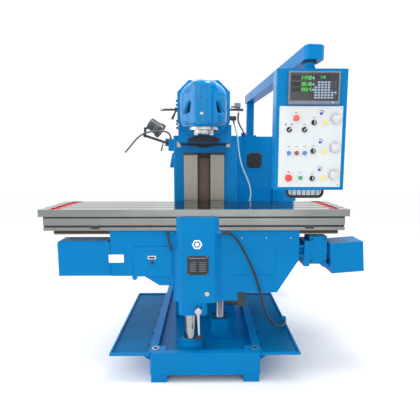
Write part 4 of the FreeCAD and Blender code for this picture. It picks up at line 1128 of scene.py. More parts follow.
@dataclass
class MillingHead:
    """The rounded head: a barrel with a front lobe, side pockets, a flange, a sight plug and a cover."""

    body: str = "head"
    across: float = 0.153
    deep: float = 0.120
    lobe_radius: float = 0.081
    lobe_offset: float = 0.0735
    blend: float = 0.026
    rows: int = 90
    columns: int = 160
    pocket_depth: float = 0.046
    pocket_angle: float = 47.0
    shadow_from: float = 0.42

    def build(self) -> None:
        """Makes the casting and what is fitted to it."""
        low, high = corners("head_casting")
        self.x = (low[0] + high[0]) / 2
        self.bottom, self.top = corners("spindle_ring")[1][2], corners("head_cap")[0][2]
        self.front, self.flange_rear = low[1], high[1]
        self.y = self.front + self.lobe_offset + self.lobe_radius + 0.001
        casting = Surface().grid(self._shell())
        hub_z = (low[2] + 0.160)
        casting.turned([(0.126, 0.0), (0.126, 0.070), (0.128, 0.076), (0.134, 0.080), (0.156, 0.080),
                        (0.1598, 0.084),
                        (0.1598, 0.120), (0.157, 0.1255)], (self.x, self.flange_rear - 0.1262, hub_z), Axis.Y,
                        72)
        piece = casting.build("head_shell", Finish.HEAD_PAINT.material(), self.body)
        self._paint_pocket_shade(piece)
        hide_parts("head_casting")
        self._fittings(hub_z)

    def _dent(self, degrees: np.ndarray, t: np.ndarray, side: int) -> np.ndarray:
        """How deep a side pocket is, from 0 to 1, at an angle from the front and a share of the height."""
        middle = side * (self.pocket_angle - 7.0 * (t - 0.42) / 0.12)
        wide = np.maximum(7.5 + 3.0 * (0.42 - t) / 0.12, 3.0)
        return np.exp(-(((degrees - middle) / wide) ** 4)) * np.exp(-(((t - 0.42) / 0.105) ** 4))

    def _paint_pocket_shade(self, piece: bpy.types.Object) -> None:
        """Paints shade on the faces inside the pockets with the dark shadowed enamel."""
        mesh = piece.data
        centres = np.empty(len(mesh.polygons) * 3)
        mesh.polygons.foreach_get("center", centres)
        offset = centres.reshape(-1, 3) - np.array([self.x, self.y, self.bottom])
        degrees = np.degrees(np.arctan2(offset[:, 0], -offset[:, 1]))
        t = offset[:, 2] / (self.top - self.bottom)
        inside = np.maximum(self._dent(degrees, t, -1), self._dent(degrees, t, 1)) > self.shadow_from
        mesh.materials.append(Finish.DEEP.material())
        mesh.polygons.foreach_set("material_index", inside.astype(np.int32))
        mesh.update()

    def _shell(self) -> np.ndarray:
        """The head's skin, in turns about the spindle: angle a from the front, share t of the height.

        The plan is an ellipse, 1 / sqrt((sin a / across)^2 + (cos a / deep)^2), scaled by the
        profile of the height and joined to the lobe's circle; each pocket takes away a bell-shaped dent.
        Returns:
            Rows of points from bottom to top.
        """
        t = np.linspace(0, 1, self.rows)[:, None]
        a = np.linspace(0, 2 * math.pi, self.columns, endpoint=False)[None, :]
        height = self.top - self.bottom
        stops = np.array([0.0, 0.03, 0.07, 0.12, 0.20, 0.40, 0.62, 0.74, 0.84, 0.92, 0.97, 1.0])
        sizes = np.array([0.68, 0.86, 0.93, 0.97, 0.99, 1.0, 1.0, 0.975, 0.90, 0.78, 0.66, 0.57])
        ellipse = 1 / np.sqrt((np.sin(a) / self.across) ** 2 + (np.cos(a) / self.deep) ** 2)
        barrel = ellipse * np.interp(t, stops, sizes)
        lobe_sizes = np.interp(t, [0.0, 0.03, 0.08, 0.9, 0.965, 1.0], [0.78, 0.93, 1.0, 1.0, 0.94, 0.80])
        front = self.lobe_offset * np.cos(a)
        lobe = (front + np.sqrt(self.lobe_radius ** 2 - (self.lobe_offset * np.sin(a)) ** 2
                                + 1e-9)) * lobe_sizes
        radius = smooth_max(barrel, np.where(np.cos(a) > -0.2, lobe, 0.02), self.blend)
        degrees = np.degrees(np.arctan2(np.sin(a), np.cos(a)))
        for side in (-1, 1):
            dent = self._dent(degrees, t, side)
            cheek = np.exp(-(((degrees - side * 58.0) / 15.0) ** 4)) * np.exp(-(((t - 0.22) / 0.13) ** 4))
            radius = radius - self.pocket_depth * dent + 0.004 * cheek
        direction = np.stack([np.sin(a) + 0 * t, -np.cos(a) + 0 * t, 0 * a + 0 * t], -1)
        rise = np.stack([0 * a + 0 * t, 0 * a + 0 * t, self.bottom + t * height + 0 * a], -1)
        return np.array([self.x, self.y, 0.0]) + radius[..., None] * direction + rise

    def _fittings(self, hub_z: float) -> None:
        """Adds the plug, the round cover and its screw, the flange's nuts and the cap's screws."""
        Surface().turned([(0.0065, 0.0), (0.0065, 0.012), (0.0052, 0.015)],
                         (self.x - 0.011, self.front + 0.004, 1.731), Axis.FRONT, 24) \
            .turned([(0.011, 0.0), (0.011, 0.007), (0.0095, 0.0085)],
                    (self.x - 0.011, self.front + 0.004, 1.731), Axis.FRONT, 6) \
            .build("head_plug", Finish.CHROME.material(), self.body)
        Surface().turned([(0.031, -0.006), (0.031, 0.0008), (0.0295, 0.0020), (0.024, 0.0024)],
                         (self.x - 0.004, self.front + 0.0032, 1.823), Axis.FRONT, 48) \
            .build("head_cover", Finish.HEAD_PAINT.material(), self.body)
        Surface().turned(screw(0.005, 0.0035), (self.x - 0.013, self.front + 0.0014, 1.831), Axis.FRONT, 20) \
            .build("head_cover_screw", Finish.BLACK_STEEL.material(), self.body)
        nuts = Surface()
        for degrees in (20, 70, 110, 160, 200, 250, 290, 340):
            angle = math.radians(degrees)
            at = (self.x + 0.146 * math.cos(angle), self.flange_rear - 0.0455,
                  hub_z + 0.146 * math.sin(angle))
            nuts.turned([(0.0125, 0.0), (0.0125, 0.009), (0.0105, 0.0105)], at, Axis.FRONT, 6,
                        math.radians(degrees))
            nuts.turned([(0.007, 0.0), (0.007, 0.016), (0.006, 0.0175)], at, Axis.FRONT, 16)
        nuts.build("flange_nuts", Finish.BLACK_STEEL.material(), self.body)
        cap_low, cap_high = corners("head_cap")
        screws = Surface()
        for degrees in range(0, 360, 60):
            angle = math.radians(degrees + 15)
            screws.turned(screw(0.006, 0.0035), ((cap_low[0] + cap_high[0]) / 2 + 0.060 * math.cos(angle),
                                                 (cap_low[1] + cap_high[1]) / 2 + 0.060 * math.sin(angle),
                                                 cap_high[2] - 0.0032),
                          Axis.Z, 18)
        screws.build("cap_screws", Finish.BLACK_STEEL.material(), self.body)


@dataclass
class RamFittings:
    """The black shadow plate under the seat, flange nuts, limit switch, lube block, the rear motor's fins and
    the ram's covers.
    """

    body: str = "ram"
    nut_heights: tuple[float, ...] = (1.863, 1.835, 1.724, 1.703, 1.676)
    fins: int = 26

    def build(self) -> None:
        """Makes every fitting."""
        low, high = corners("ram")
        angle = np.linspace(0.0, math.pi, 25)
        arch = np.stack([0.119 * np.cos(angle), 0.046 * np.sin(angle) ** 0.6], -1)
        Surface().strip(arch.tolist(), (-0.008, -0.2312, 1.5760), Axis.FRONT, 0.006) \
            .build("seat_shadow_plate", Finish.BLACK.material(), self.body)
        nuts = Surface()
        for z in self.nut_heights:
            nuts.turned([(0.010, 0.0), (0.010, 0.007), (0.0085, 0.0085)],
                        (low[0] + 0.0005, low[1] + 0.030, z), Axis.LEFT, 6)
            nuts.turned([(0.0055, 0.0), (0.0055, 0.012), (0.0045, 0.013)],
                        (low[0] + 0.0005, low[1] + 0.030, z), Axis.LEFT, 14)
        nuts.build("ram_nuts", Finish.BLACK_STEEL.material(), self.body)
        Surface().block((0.211, -0.282, 1.815), (0.253, -0.242, 1.849), 0.003) \
            .block((0.186, -0.276, 1.818), (0.213, -0.250, 1.828), 0.0015) \
            .turned([(0.011, 0.0), (0.011, 0.008), (0.0085, 0.009), (0.0085, 0.020), (0.0068, 0.024)],
                    (0.240, -0.262, 1.816), Axis.DOWN, 24) \
            .build("limit_switch", Finish.BEZEL.material(), self.body)
        Surface().turned([(0.0078, -0.010), (0.0078, 0.002), (0.0066, 0.006), (0.0066, 0.026),
                          (0.0061, 0.034)],
                         (0.224, 0.020, 1.767), (0.22, 0.10, -1.0), 20) \
            .block((0.190, -0.002, 1.758), (0.246, 0.046, 1.790), 0.003) \
            .build("lube_block", Finish.BLACK_STEEL.material(), self.body)
        covers, screws = Surface(), Surface()
        for side, x in ((Axis.LEFT, low[0]), (Axis.X, high[0])):
            covers.block((x - 0.0022, 0.06, 1.70), (x + 0.0022, 0.42, 1.86), 0.0016)
            for y in (0.078, 0.24, 0.402):
                for z in (1.716, 1.844):
                    screws.turned(screw(0.0062, 0.004), (x + side.value[0] * 0.0021, y, z), side, 16)
        covers.build("ram_covers", Finish.SHEET.material(), self.body)
        screws.build("ram_cover_screws", Finish.BLACK_STEEL.material(), self.body)
        self._motor()

    def _motor(self) -> None:
        """Makes the finned motor at the ram's rear in place of its plain solid."""
        low, high = corners("spindle_motor")
        x, z = (low[0] + high[0]) / 2, (low[2] + high[2]) / 2
        radius, length = (high[0] - low[0]) / 2, high[1] - low[1]
        barrel = [(radius, 0.0), (radius, 0.016), (radius * 0.93, 0.018), (radius * 0.93, length - 0.075),
                  (radius * 0.985, length - 0.072), (radius * 0.985, length - 0.012), (radius * 0.93, length)]
        motor = Surface().turned(barrel, (x, low[1], z), Axis.Y, 72)
        angle = np.linspace(0, 2 * math.pi, self.fins, endpoint=False)
        for a in angle.tolist():
            motor.block((x + radius * 0.89, low[1] + 0.022, z - 0.0022),
                        (x + radius * 0.985, high[1] - 0.080, z + 0.0022), 0.0009, 1)
            block = motor.points[-1]
            rel = block - np.array([x, 0.0, z])
            motor.points[-1] = np.stack([x + rel[:, 0] * math.cos(a) - rel[:, 2] * math.sin(a), rel[:, 1],
                                         z + rel[:, 0] * math.sin(a) + rel[:, 2] * math.cos(a)], -1)
        piece = motor.build("finned_motor", Finish.MOTOR.material(), self.body)
        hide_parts("spindle_motor")
        Surface().block((x - 0.048, low[1] + 0.07, z + radius * 0.80),
                        (x + 0.048, low[1] + 0.17, z + radius * 0.995), 0.005) \
            .build("motor_terminal_box", Finish.MOTOR.material(), self.body)
        vents = Surface()
        for ring in (0.035, 0.058, 0.081, 0.104):
            count = int(ring * 260)
            for a in np.linspace(0, 2 * math.pi, count, endpoint=False).tolist():
                vents.turned([(0.0042, 0.0), (0.0042, 0.0012), (0.0036, 0.0016)],
                             (x + ring * math.cos(a), high[1] - 0.0012, z + ring * math.sin(a)), Axis.Y, 10)
        vents.build("motor_vents", Finish.BLACK.material(), self.body)


@dataclass
class SpindleFittings:
    """The nose ring's screws, and the cross shaft's dark finish and collar."""

    def build(self) -> None:
        """Adds screws under the ring, blacks the whole cross shaft and adds its collar."""
        low, high = corners("spindle_ring")
        x, y = (low[0] + high[0]) / 2, (low[1] + high[1]) / 2
        screws = Surface()
        for degrees in range(0, 360, 60):
            angle = math.radians(degrees + 30)
            screws.turned(screw(0.0055, 0.003),
                          (x + 0.080 * math.cos(angle), y + 0.080 * math.sin(angle), low[2] + 0.0004),
                          Axis.DOWN, 18)
        screws.build("ring_screws", Finish.BLACK_STEEL.material(), "head")
        dress(Finish.BLACK_STEEL, "cross_shaft")
        shaft_low, shaft_high = corners("cross_shaft")
        Surface().turned([(0.0095, 0.0), (0.0125, 0.004), (0.0128, 0.016), (0.0095, 0.022)],
                         (shaft_low[0] + 0.0235, (shaft_low[1] + shaft_high[1]) / 2, 1.803), Axis.LEFT, 32) \
            .build("shaft_collar", Finish.SCREW.material(), "cross_shaft")


# ---- knee, base, column and cabinet -----------------------------------------------------------
@dataclass
class KneeFittings:
    """Plates, plugs, the sight gauge, screws and the cable gland on the knee."""

    body: str = "knee"
    disc_x: float = -0.051
    disc_z: float = 0.912
    plate: tuple[float, float, float, float] = (-0.116, 0.023, 0.710, 0.837)
    plug: tuple[float, float] = (0.013, 0.582)
    gauge: tuple[float, float] = (-0.347, 0.818)

    def build(self) -> None:
        """Makes every fitting."""
        front = corners("knee_nose")[0][1]
        x0, x1, z0, z1 = self.plate
        Surface().block((x0, front - 0.0022, z0), (x1, front + 0.003, z1), 0.007, 4) \
            .build("rating_plate", Finish.BLACK.material(), self.body)
        bars = Surface()
        wide = x1 - x0
        for row in range(6):
            z = z1 - 0.045 - row * 0.0115
            for left, right in ((0.12, 0.42), (0.56, 0.88)):
                bars.block((x0 + wide * left, front - 0.0026, z),
                           (x0 + wide * right, front - 0.0018, z + 0.0035), 0.0003, 1)
        bars.block((x0 + wide * 0.1, front - 0.0026, z1 - 0.018),
                   (x1 - wide * 0.1, front - 0.0018, z1 - 0.0125), 0.0003, 1)
        bars.build("rating_plate_bars", Finish.BEZEL.material(), self.body)
        rivets = Surface()
        for x in (x0 + 0.007, x1 - 0.007):
            for z in (z0 + 0.007, z1 - 0.007):
                rivets.turned(dome(0.0028, 0.0016), (x, front - 0.0018, z), Axis.FRONT, 14)
        rivets.build("rating_plate_rivets", Finish.CHROME.material(), self.body)
        Surface().ring(rim(0.0235, 0.0335, 0.0016, 0.0004), (self.disc_x, front, self.disc_z), Axis.FRONT,
                       6) \
            .turned([(0.013, 0.0), (0.013, 0.0012), (0.0125, 0.0016)], (self.disc_x, front, self.disc_z),
                    Axis.FRONT, 40) \
            .build("front_badge", Finish.WHITE.material(), self.body)
        Surface().turned([(0.0145, 0.0), (0.0145, 0.004), (0.0128, 0.0058), (0.0088, 0.0058),
                          (0.0084, 0.0022)],
                         (self.plug[0], front, self.plug[1]), Axis.FRONT, 40) \
            .build("oil_plug", Finish.BRASS.material(), self.body)
        Surface().turned([(0.0080, -0.004), (0.0080, 0.0026), (0.0066, 0.0040)],
                         (self.plug[0], front, self.plug[1]), Axis.FRONT, 6) \
            .build("oil_plug_hex", Finish.SCREW.material(), self.body)
        self._gauge()
        self._screws()

    def _gauge(self) -> None:
        """Makes the oval oil gauge, its glass and the blank label on the left wing."""
        front = corners("gauge_cover")[0][1] + 0.005
        x, z = self.gauge
        Surface().block((x - 0.027, front - 0.0038, z - 0.012), (x + 0.027, front + 0.001, z + 0.012),
                        0.003) \
            .build("gauge_frame", Finish.CHROME_KNOB.material(), self.body)
        Surface().block((x - 0.020, front - 0.0048, z - 0.0065), (x + 0.020, front - 0.0030, z + 0.0065),
                        0.0008, 1) \
            .build("gauge_glass", Finish.SCREEN.material(), self.body)
        Surface().turned([(0.0118, 0.0), (0.0118, 0.006), (0.0102, 0.0075)], (x, front - 0.0045, z - 0.034),
                         Axis.FRONT, 28) \
            .build("gauge_plug", Finish.BLACK_STEEL.material(), self.body)
        Surface().block((-0.628, front - 0.001, 0.784), (-0.530, front + 0.0045, 0.838), 0.0006, 1) \
            .build("blank_label", Finish.WHITE.material(), self.body)

    def _screws(self) -> None:
        """Adds cover screws, drive-box bolts and the cable's gland."""
        screws = Surface()
        gear_low, gear_high = corners("right_gearbox")
        for x in (0.704, 0.788):
            for z in (gear_low[2] + 0.042, gear_high[2] - 0.020):
                screws.turned(screw(0.0060, 0.0045), (x, -0.5895, z), Axis.FRONT, 18)
        screws.build("knee_screws", Finish.BLACK_STEEL.material(), self.body)
        Surface().turned([(0.0125, 0.0), (0.0125, 0.010), (0.0108, 0.012), (0.0108, 0.021), (0.0078, 0.030)],
                         (0.1005, -0.628, 0.985), Axis.X, 6) \
            .build("cable_gland", Finish.BLACK.material(), self.body)
        dress(Finish.BLACK_STEEL, "knee_lock_lever")
        knee_low, knee_high = corners("knee_casting")
        Surface().block((knee_high[0] - 0.006, -0.560, 0.800), (knee_high[0] + 0.0015, -0.30, 0.930),
                        0.0012) \
            .block((knee_low[0] - 0.0015, -0.440, 0.720), (knee_low[0] + 0.006, -0.20, 0.930), 0.0012) \
            .build("knee_side_covers", Finish.SHEET.material(), self.body)
        nipples = Surface()
        for x in (-0.175, -0.02, 0.24, 0.40, 0.56):
            nipples.turned([(0.0045, 0.0), (0.0045, 0.003), (0.0028, 0.004), (0.0030, 0.008)],
                           (x, knee_low[1] + 0.0002, 0.945), Axis.FRONT, 6)
        nipples.build("grease_nipples", Finish.BRASS.material(), self.body)
        box = Surface()
        low, high = corners("lift_motor")
        box.ring(rim(0.0385, 0.0430, 0.008), ((low[0] + high[0]) / 2 - 0.022, -0.467, 0.476), Axis.X, 40)
        for offset in (0.0, 0.018, 0.036):
            box.ring(rim(0.0375, 0.0405, 0.005), (low[0] + 0.018 + offset, -0.467, 0.476), Axis.X, 40)
        box.build("lift_motor_rings", Finish.MOTOR.material(), self.body)


@dataclass
class PostClamp:
    """The chrome clamp lever with its black ball, and the post's wiper ring."""

    body: str = "post_clamp_lever"

    def build(self) -> None:
        """Makes the lever in place of its plain solid."""
        high = corners("post_clamp_lever")[1]
        x, z, rear = -0.045, 0.479, high[1]
        Surface().turned([(0.0255, 0.0), (0.0255, 0.012), (0.0225, 0.016), (0.0255, 0.020), (0.0255, 0.034),
                          (0.0215, 0.041),
                          (0.0120, 0.0445), (0.0112, 0.0475)], (x, rear, z), Axis.FRONT, 48) \
            .tube(np.linspace((x, rear - 0.036, z - 0.012), (x + 0.005, rear - 0.036, 0.318), 8),
                  np.linspace(0.0118, 0.0072, 8), 24) \
            .build("clamp_lever_shaft", Finish.CHROME.material(), self.body)
        angle = np.linspace(-math.pi / 2 * 0.93, math.pi / 2 * 0.90, 16)
        piece = Surface().turned(list(zip((0.0192 * np.cos(angle)).tolist(),
                                          (0.0192 * np.sin(angle)).tolist())),
                                 (x + 0.005, rear - 0.036, 0.3015), Axis.Z, 40) \
            .build("clamp_lever_ball", Finish.BLACK.material(), self.body)
        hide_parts("post_clamp_lever")
        post_low, post_high = corners("support_post")
        Surface().ring([(0.0456, 0.0), (0.062, 0.0), (0.062, 0.006), (0.056, 0.012), (0.0456, 0.012)],
                       ((post_low[0] + post_high[0]) / 2, (post_low[1] + post_high[1]) / 2, 0.2392), Axis.Z,
                       48) \
            .build("post_wiper", Finish.CASTING.material(), "frame")


@dataclass
class BaseFittings:
    """Foundation washers, tray floors and screws, the lift screw's thread and a drain plug."""

    body: str = "frame"
    thread_pitch: float = 0.008
    thread_depth: float = 0.0022
    hole: tuple[float, float] = (0.330, 0.640)
    tray_rim: float = 0.0125
    tray_screw_x: float = 0.380
    rim_top: float = 0.206
    pedestal: tuple[float, float, float] = (0.108, -0.352, 0.3035)
    pedestal_screw: float = 0.0465

    def build(self) -> None:
        """Makes every fitting."""
        high = corners("base")[1]
        washers = Surface()
        for x in (-self.hole[0], self.hole[0]):
            for y in (-self.hole[1], self.hole[1]):
                washers.ring(rim(0.0152, 0.0245, 0.0035), (x, y, self.rim_top), Axis.Z, 36)
        washers.build("foundation_washers", Finish.SCREW.material(), self.body)
        self._thread()
        # The tray floors wear the darker mottled enamel: oily dirt with painted shade and dark reflections.
        trays = Surface()
        for node in ("chip_tray_left", "chip_tray_right"):
            (x0, y0, _), (x1, y1, _) = corners(node)
            trays.block((x0 + self.tray_rim, y0 + self.tray_rim, self.rim_top - 0.0115),
                        (x1 - self.tray_rim, y1 - self.tray_rim, self.rim_top - 0.0105), 0.0004, 1)
        trays.build("tray_floors", Finish.TRAY.material(), self.body)
        screws = Surface()
        for side in (-1, 1):
            for y in np.linspace(-0.60, 0.30, 6):
                screws.turned(screw(0.0075, 0.0050), (side * self.tray_screw_x, y, self.rim_top), Axis.Z, 18)
        x, y, top = self.pedestal
        for dx in (-self.pedestal_screw, self.pedestal_screw):
            for dy in (-self.pedestal_screw, self.pedestal_screw):
                screws.turned(screw(0.0100, 0.0085), (x + dx, y + dy, top), Axis.Z, 18)
        screws.build("base_screws", Finish.BLACK_STEEL.material(), self.body)
        Surface().turned([(0.016, 0.0), (0.016, 0.005), (0.013, 0.007), (0.013, 0.016), (0.0115, 0.018)],
                         (0.0, high[1] - 0.0005, 0.110), Axis.Y, 6) \
            .build("drain_plug", Finish.BRASS.material(), self.body)

    def _thread(self) -> None:
        """Replaces the lift screw by one with a real thread.

        The radius at height z and angle a is the root plus the depth times a triangle wave of
        z / pitch - a / 2 pi.
        """
        low, high = corners("lift_screw")
        centre = ((low[0] + high[0]) / 2, (low[1] + high[1]) / 2)
        outer = (high[0] - low[0]) / 2
        z = np.arange(low[2], high[2], self.thread_pitch / 6)[:, None]
        a = np.linspace(0, 2 * math.pi, 36, endpoint=False)[None, :]
        wave = np.abs(((z / self.thread_pitch - a / (2 * math.pi)) % 1.0) * 2 - 1)
        radius = outer - self.thread_depth * np.clip(wave * 1.6 - 0.3, 0, 1)
        points = np.stack([centre[0] + radius * np.cos(a), centre[1] + radius * np.sin(a), z + 0 * a], -1)
        piece = Surface().grid(points).build("lift_screw_thread", Finish.SCREW.material(), self.body)
        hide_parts("lift_screw")


@dataclass
class ColumnFittings:
    """Way ends and caps, painted shadow in the gap under the ram, the dark bracket in the recess, covers,
    plugs and bolts on the column.
    """

    body: str = "frame"

    def build(self) -> None:
        """Makes every fitting."""
        front = -0.042
        ends = Surface()
        for x0, x1 in ((-0.2185, -0.1865), (0.1665, 0.1985)):
            ends.block((x0, front - 0.004, 1.546), (x1, front + 0.010, 1.590), 0.0016)
        ends.build("ram_way_ends", Finish.STEEL.material(), self.body)
        # Black strip, trapezoid and arch: painted shadow in the gap under the ram; the small block is the
        # dark bracket in the recess.
        Surface().block((-0.1865, front - 0.0022, 1.5615), (0.1665, front + 0.006, 1.5705), 0.0008, 1) \
            .block((-0.040, front - 0.004, 1.470), (0.040, front + 0.036, 1.504), 0.003) \
            .strip([(-0.105, 0.0), (0.105, 0.0), (0.094, 0.018), (-0.094, 0.018)],
                   (-0.010, front - 0.001, 1.5565), Axis.FRONT, 0.008) \
            .strip(self._segment(), (-0.008, front + 0.044, 1.693), Axis.FRONT, 0.043) \
            .build("ram_gap_shadow_and_bracket", Finish.BLACK.material(), self.body)
        Surface().block((-0.0575, front + 0.030, 0.34), (0.0425, front + 0.0388, 1.500), 0.0015) \
            .build("way_recess", Finish.RECESS_STEEL.material(), self.body)
        wipers = Surface()
        for x0, x1 in ((-0.164, -0.058), (0.043, 0.150)):
            wipers.block((x0 - 0.003, -0.0612, 1.486), (x1 + 0.003, front + 0.001, 1.5035), 0.0015)
        wipers.build("way_caps", Finish.BLACK_STEEL.material(), self.body)
        covers, screws = Surface(), Surface()
        covers.block((-0.2475, 0.13, 0.62), (-0.2435, 0.49, 1.30), 0.0016) \
            .block((0.2485, 0.16, 0.70), (0.2525, 0.50, 1.34), 0.0016) \
            .block((-0.17, 0.6185, 0.42), (0.17, 0.6225, 1.36), 0.0016)
        for z in np.linspace(0.64, 1.28, 4):
            for y in (0.148, 0.472):
                screws.turned(screw(0.0070, 0.0045), (-0.2473, y, z), Axis.LEFT, 16)
        for z in np.linspace(0.72, 1.32, 4):
            for y in (0.178, 0.482):
                screws.turned(screw(0.0070, 0.0045), (0.2523, y, z), Axis.X, 16)
        for z in np.linspace(0.445, 1.335, 5):
            for x in (-0.15, 0.15):
                screws.turned(screw(0.0070, 0.0045), (x, 0.6223, z), Axis.Y, 16)
        covers.build("column_covers", Finish.SHEET.material(), self.body)
        screws.build("column_screws", Finish.BLACK_STEEL.material(), self.body)
        foot = Surface()
        for x in (-0.225, 0.230):
            for y in (0.03, 0.22, 0.41, 0.58):
                foot.turned([(0.014, 0.0), (0.014, 0.010), (0.012, 0.012)], (x, y, 0.2058), Axis.Z, 6)
        foot.build("column_foot_bolts", Finish.BLACK_STEEL.material(), self.body)
        Surface().turned([(0.0155, 0.0), (0.0155, 0.0035), (0.0135, 0.0050), (0.0100, 0.0050),
                          (0.0096, 0.0030)],
                         (-0.245, 0.33, 1.40), Axis.LEFT, 36) \
            .build("column_sight_glass", Finish.BRASS.material(), self.body)
        Surface().turned([(0.0155, -0.004), (0.0155, 0.010), (0.0120, 0.013), (0.0120, 0.022),
                          (0.0078, 0.030), (0.0070, 0.030)],
                         (0.2595, 0.096, 1.050), Axis.X, 6) \
            .build("lube_union", Finish.BRASS.material(), self.body)
        Surface().block((-0.3215, 0.018, 1.5600), (-0.2835, 0.062, 1.5640), 0.001, 1) \
            .turned([(0.0115, 0.0), (0.0115, 0.006), (0.0095, 0.0075)], (-0.302, 0.040, 1.6098), Axis.Z, 6) \
            .turned([(0.0095, 0.0), (0.0095, 0.008), (0.0078, 0.012)], (-0.268, -0.020, 1.6098), Axis.Z, 6) \
            .build("bracket_nuts", Finish.BLACK_STEEL.material(), self.body)


    def _segment(self) -> list[tuple[float, float]]:
        """The lower part of the recess's circle, below the column's top: painted black as the shade under the
        ram.
        """
        angle = np.linspace(-0.6515, 0.6515, 25)
        return np.stack([0.149 * np.sin(angle), -0.149 * np.cos(angle)], -1).tolist()


@dataclass
class CabinetFittings:
    """The fan grille, door panel and locks, side louvres, rear cover, bolts and hose union of the electrical
    cabinet.
    """

    grille: tuple[float, float, float, float] = (0.405, 0.550, 1.372, 1.516)
    louvres: int = 12

    def build(self) -> None:
        """Makes every fitting."""
        high = corners("cabinet")[1]
        front = 0.650
        x0, x1, z0, z1 = self.grille
        Surface().block((x0, front - 0.004, z0), (x1, front + 0.002, z1), 0.004, 3) \
            .build("fan_back", Finish.BLACK.material(), "frame")
        bars = Surface()
        centre = ((x0 + x1) / 2, front - 0.004, (z0 + z1) / 2)
        for radius in (0.017, 0.029, 0.041, 0.053, 0.065):
            bars.ring([(radius - 0.0013, 0.0), (radius + 0.0013, 0.0), (radius + 0.0013, 0.0026),
                       (radius - 0.0013, 0.0026)],
                      centre, Axis.FRONT, 48)
        for turn in (45, 135):
            bars.block((centre[0] - 0.070, front - 0.0076, centre[2] - 0.0016),
                       (centre[0] + 0.070, front - 0.0045, centre[2] + 0.0016),
                       0.0008, 1, turn)
        bars.build("fan_guard", Finish.BLACK_STEEL.material(), "frame")
        screws = Surface()
        for x in (x0 + 0.011, x1 - 0.011):
            for z in (z0 + 0.011, z1 - 0.011):
                screws.turned(screw(0.0045, 0.003), (x, front - 0.0038, z), Axis.FRONT, 16)
        screws.build("fan_screws", Finish.SCREW.material(), "frame")
        self._door()
        louvres = Surface()
        for z in np.linspace(0.56, 0.80, self.louvres):
            louvres.block((high[0] - 0.019, 0.74, z), (high[0] - 0.0115, 0.94, z + 0.009), 0.0025, 2)
            louvres.block((0.3035, 0.74, z), (0.3115, 0.94, z + 0.009), 0.0025, 2)
        louvres.build("cabinet_louvres", Finish.SHEET.material(), "frame")
        Surface().block((0.345, high[1] - 0.001, 0.49), (0.833, high[1] + 0.0022, 1.635), 0.0016) \
            .build("cabinet_rear_cover", Finish.SHEET.material(), "frame")
        rear = Surface()
        for x in (0.360, 0.818):
            for z in np.linspace(0.51, 1.615, 5):
                rear.turned(screw(0.0058, 0.004), (x, high[1] + 0.0018, z), Axis.Y, 16)
        for x, y in ((0.402, 0.770), (0.498, 0.770), (0.402, 0.866), (0.498, 0.866)):
            rear.turned([(0.0100, 0.0), (0.0100, 0.007), (0.0085, 0.0085)], (x, y, 1.6838), Axis.Z, 6)
        rear.build("cabinet_bolts", Finish.BLACK_STEEL.material(), "frame")
        Surface().turned([(0.0105, 0.0), (0.0105, 0.012), (0.0075, 0.016), (0.0066, 0.024)],
                         (0.376, 0.7020, 1.697), Axis.FRONT, 6) \
            .build("hose_union", Finish.BRASS.material(), "frame")

    def _door(self) -> None:
        """Adds a raised panel and a lock to the door."""
        low, high = corners("cabinet_door")
        front = low[1]
        Surface().block((low[0] + 0.026, front - 0.0020, low[2] + 0.030),
                        (0.867 - 0.026, front + 0.003, high[2] - 0.030), 0.0018) \
            .build("door_panel", Finish.SHEET.material(), "cabinet_door")
        locks = Surface()
        for z in (0.80, 1.32):
            locks.turned([(0.0135, 0.0), (0.0135, 0.003), (0.0115, 0.0045), (0.0050, 0.0045),
                          (0.0046, 0.002)],
                         (low[0] + 0.014, front, z), Axis.FRONT, 32)
        locks.build("door_locks", Finish.CHROME.material(), "cabinet_door")


@dataclass
class TableFittings:
    """Stop nuts, painted groove shadows, painted shade under the dovetail, red trough linings and screw-end
    caps.
    """

    body: str = "table"

    def build(self) -> None:
        """Makes every fitting."""
        low, high = corners("table")
        dogs = Surface()
        for node_x in (-0.716, 0.685):
            dogs.turned([(0.0085, 0.0), (0.0085, 0.0020), (0.0076, 0.0028)], (node_x, -0.6165, 1.0195),
                        Axis.FRONT, 6)
        dogs.build("stop_nuts", Finish.BLACK_STEEL.material(), self.body)
        inner, outer = low[0] + 0.0292, high[0] - 0.0292
        # Dark strips along the front: painted shadow lines under the top slab and inside the side groove.
        Surface().block((inner, low[1] + 0.0072, 1.0775), (outer, low[1] + 0.0090, 1.0880), 0.0004, 1) \
            .block((inner, low[1] + 0.0112, 1.0195), (outer, low[1] + 0.0130, 1.0315), 0.0004, 1) \
            .build("table_groove_shadows", Finish.GROOVE.material(), self.body)
        # A thin dark plate over the dovetail's front: painted shade under the table's flange on oily brown
        # steel.
        Surface().block((low[0] + 0.0715, low[1] + 0.0594, 0.9680),
                        (high[0] - 0.0515, low[1] + 0.0610, 0.9972), 0.0004, 1) \
            .build("table_underside_painted_shade", Finish.UNDERSIDE.material(), self.body)
        self._linings()
        caps = Surface()
        for x, way in ((low[0], Axis.LEFT), (high[0], Axis.X)):
            for y in (-0.56, -0.42, -0.32, -0.18):
                caps.turned(screw(0.0075, 0.0045), (x - way.value[0] * 0.0012, y, 1.095), way, 18)
        caps.build("table_end_screws", Finish.BLACK_STEEL.material(), self.body)

    def _linings(self) -> None:
        """Paints the walls of the end troughs between the slots."""
        low, high = corners("table")
        linings = Surface()
        lands = (low[1] + 0.0142, -0.5282, -0.5098, -0.4282, -0.4098, -0.3282, -0.3098, -0.2282, -0.2098,
                 high[1] - 0.0142)
        for x0, x1 in ((low[0] + 0.060, low[0] + 0.134), (high[0] - 0.124, high[0] - 0.060)):
            for y0, y1 in zip(lands[::2], lands[1::2]):
                linings.block((x0, y0, high[2] - 0.0075), (x0 + 0.0008, y1, high[2] - 0.0002), 0.0003, 1)
                linings.block((x1 - 0.0008, y0, high[2] - 0.0075), (x1, y1, high[2] - 0.0002), 0.0003, 1)
        linings.build("trough_linings", Finish.RED.material(), self.body)


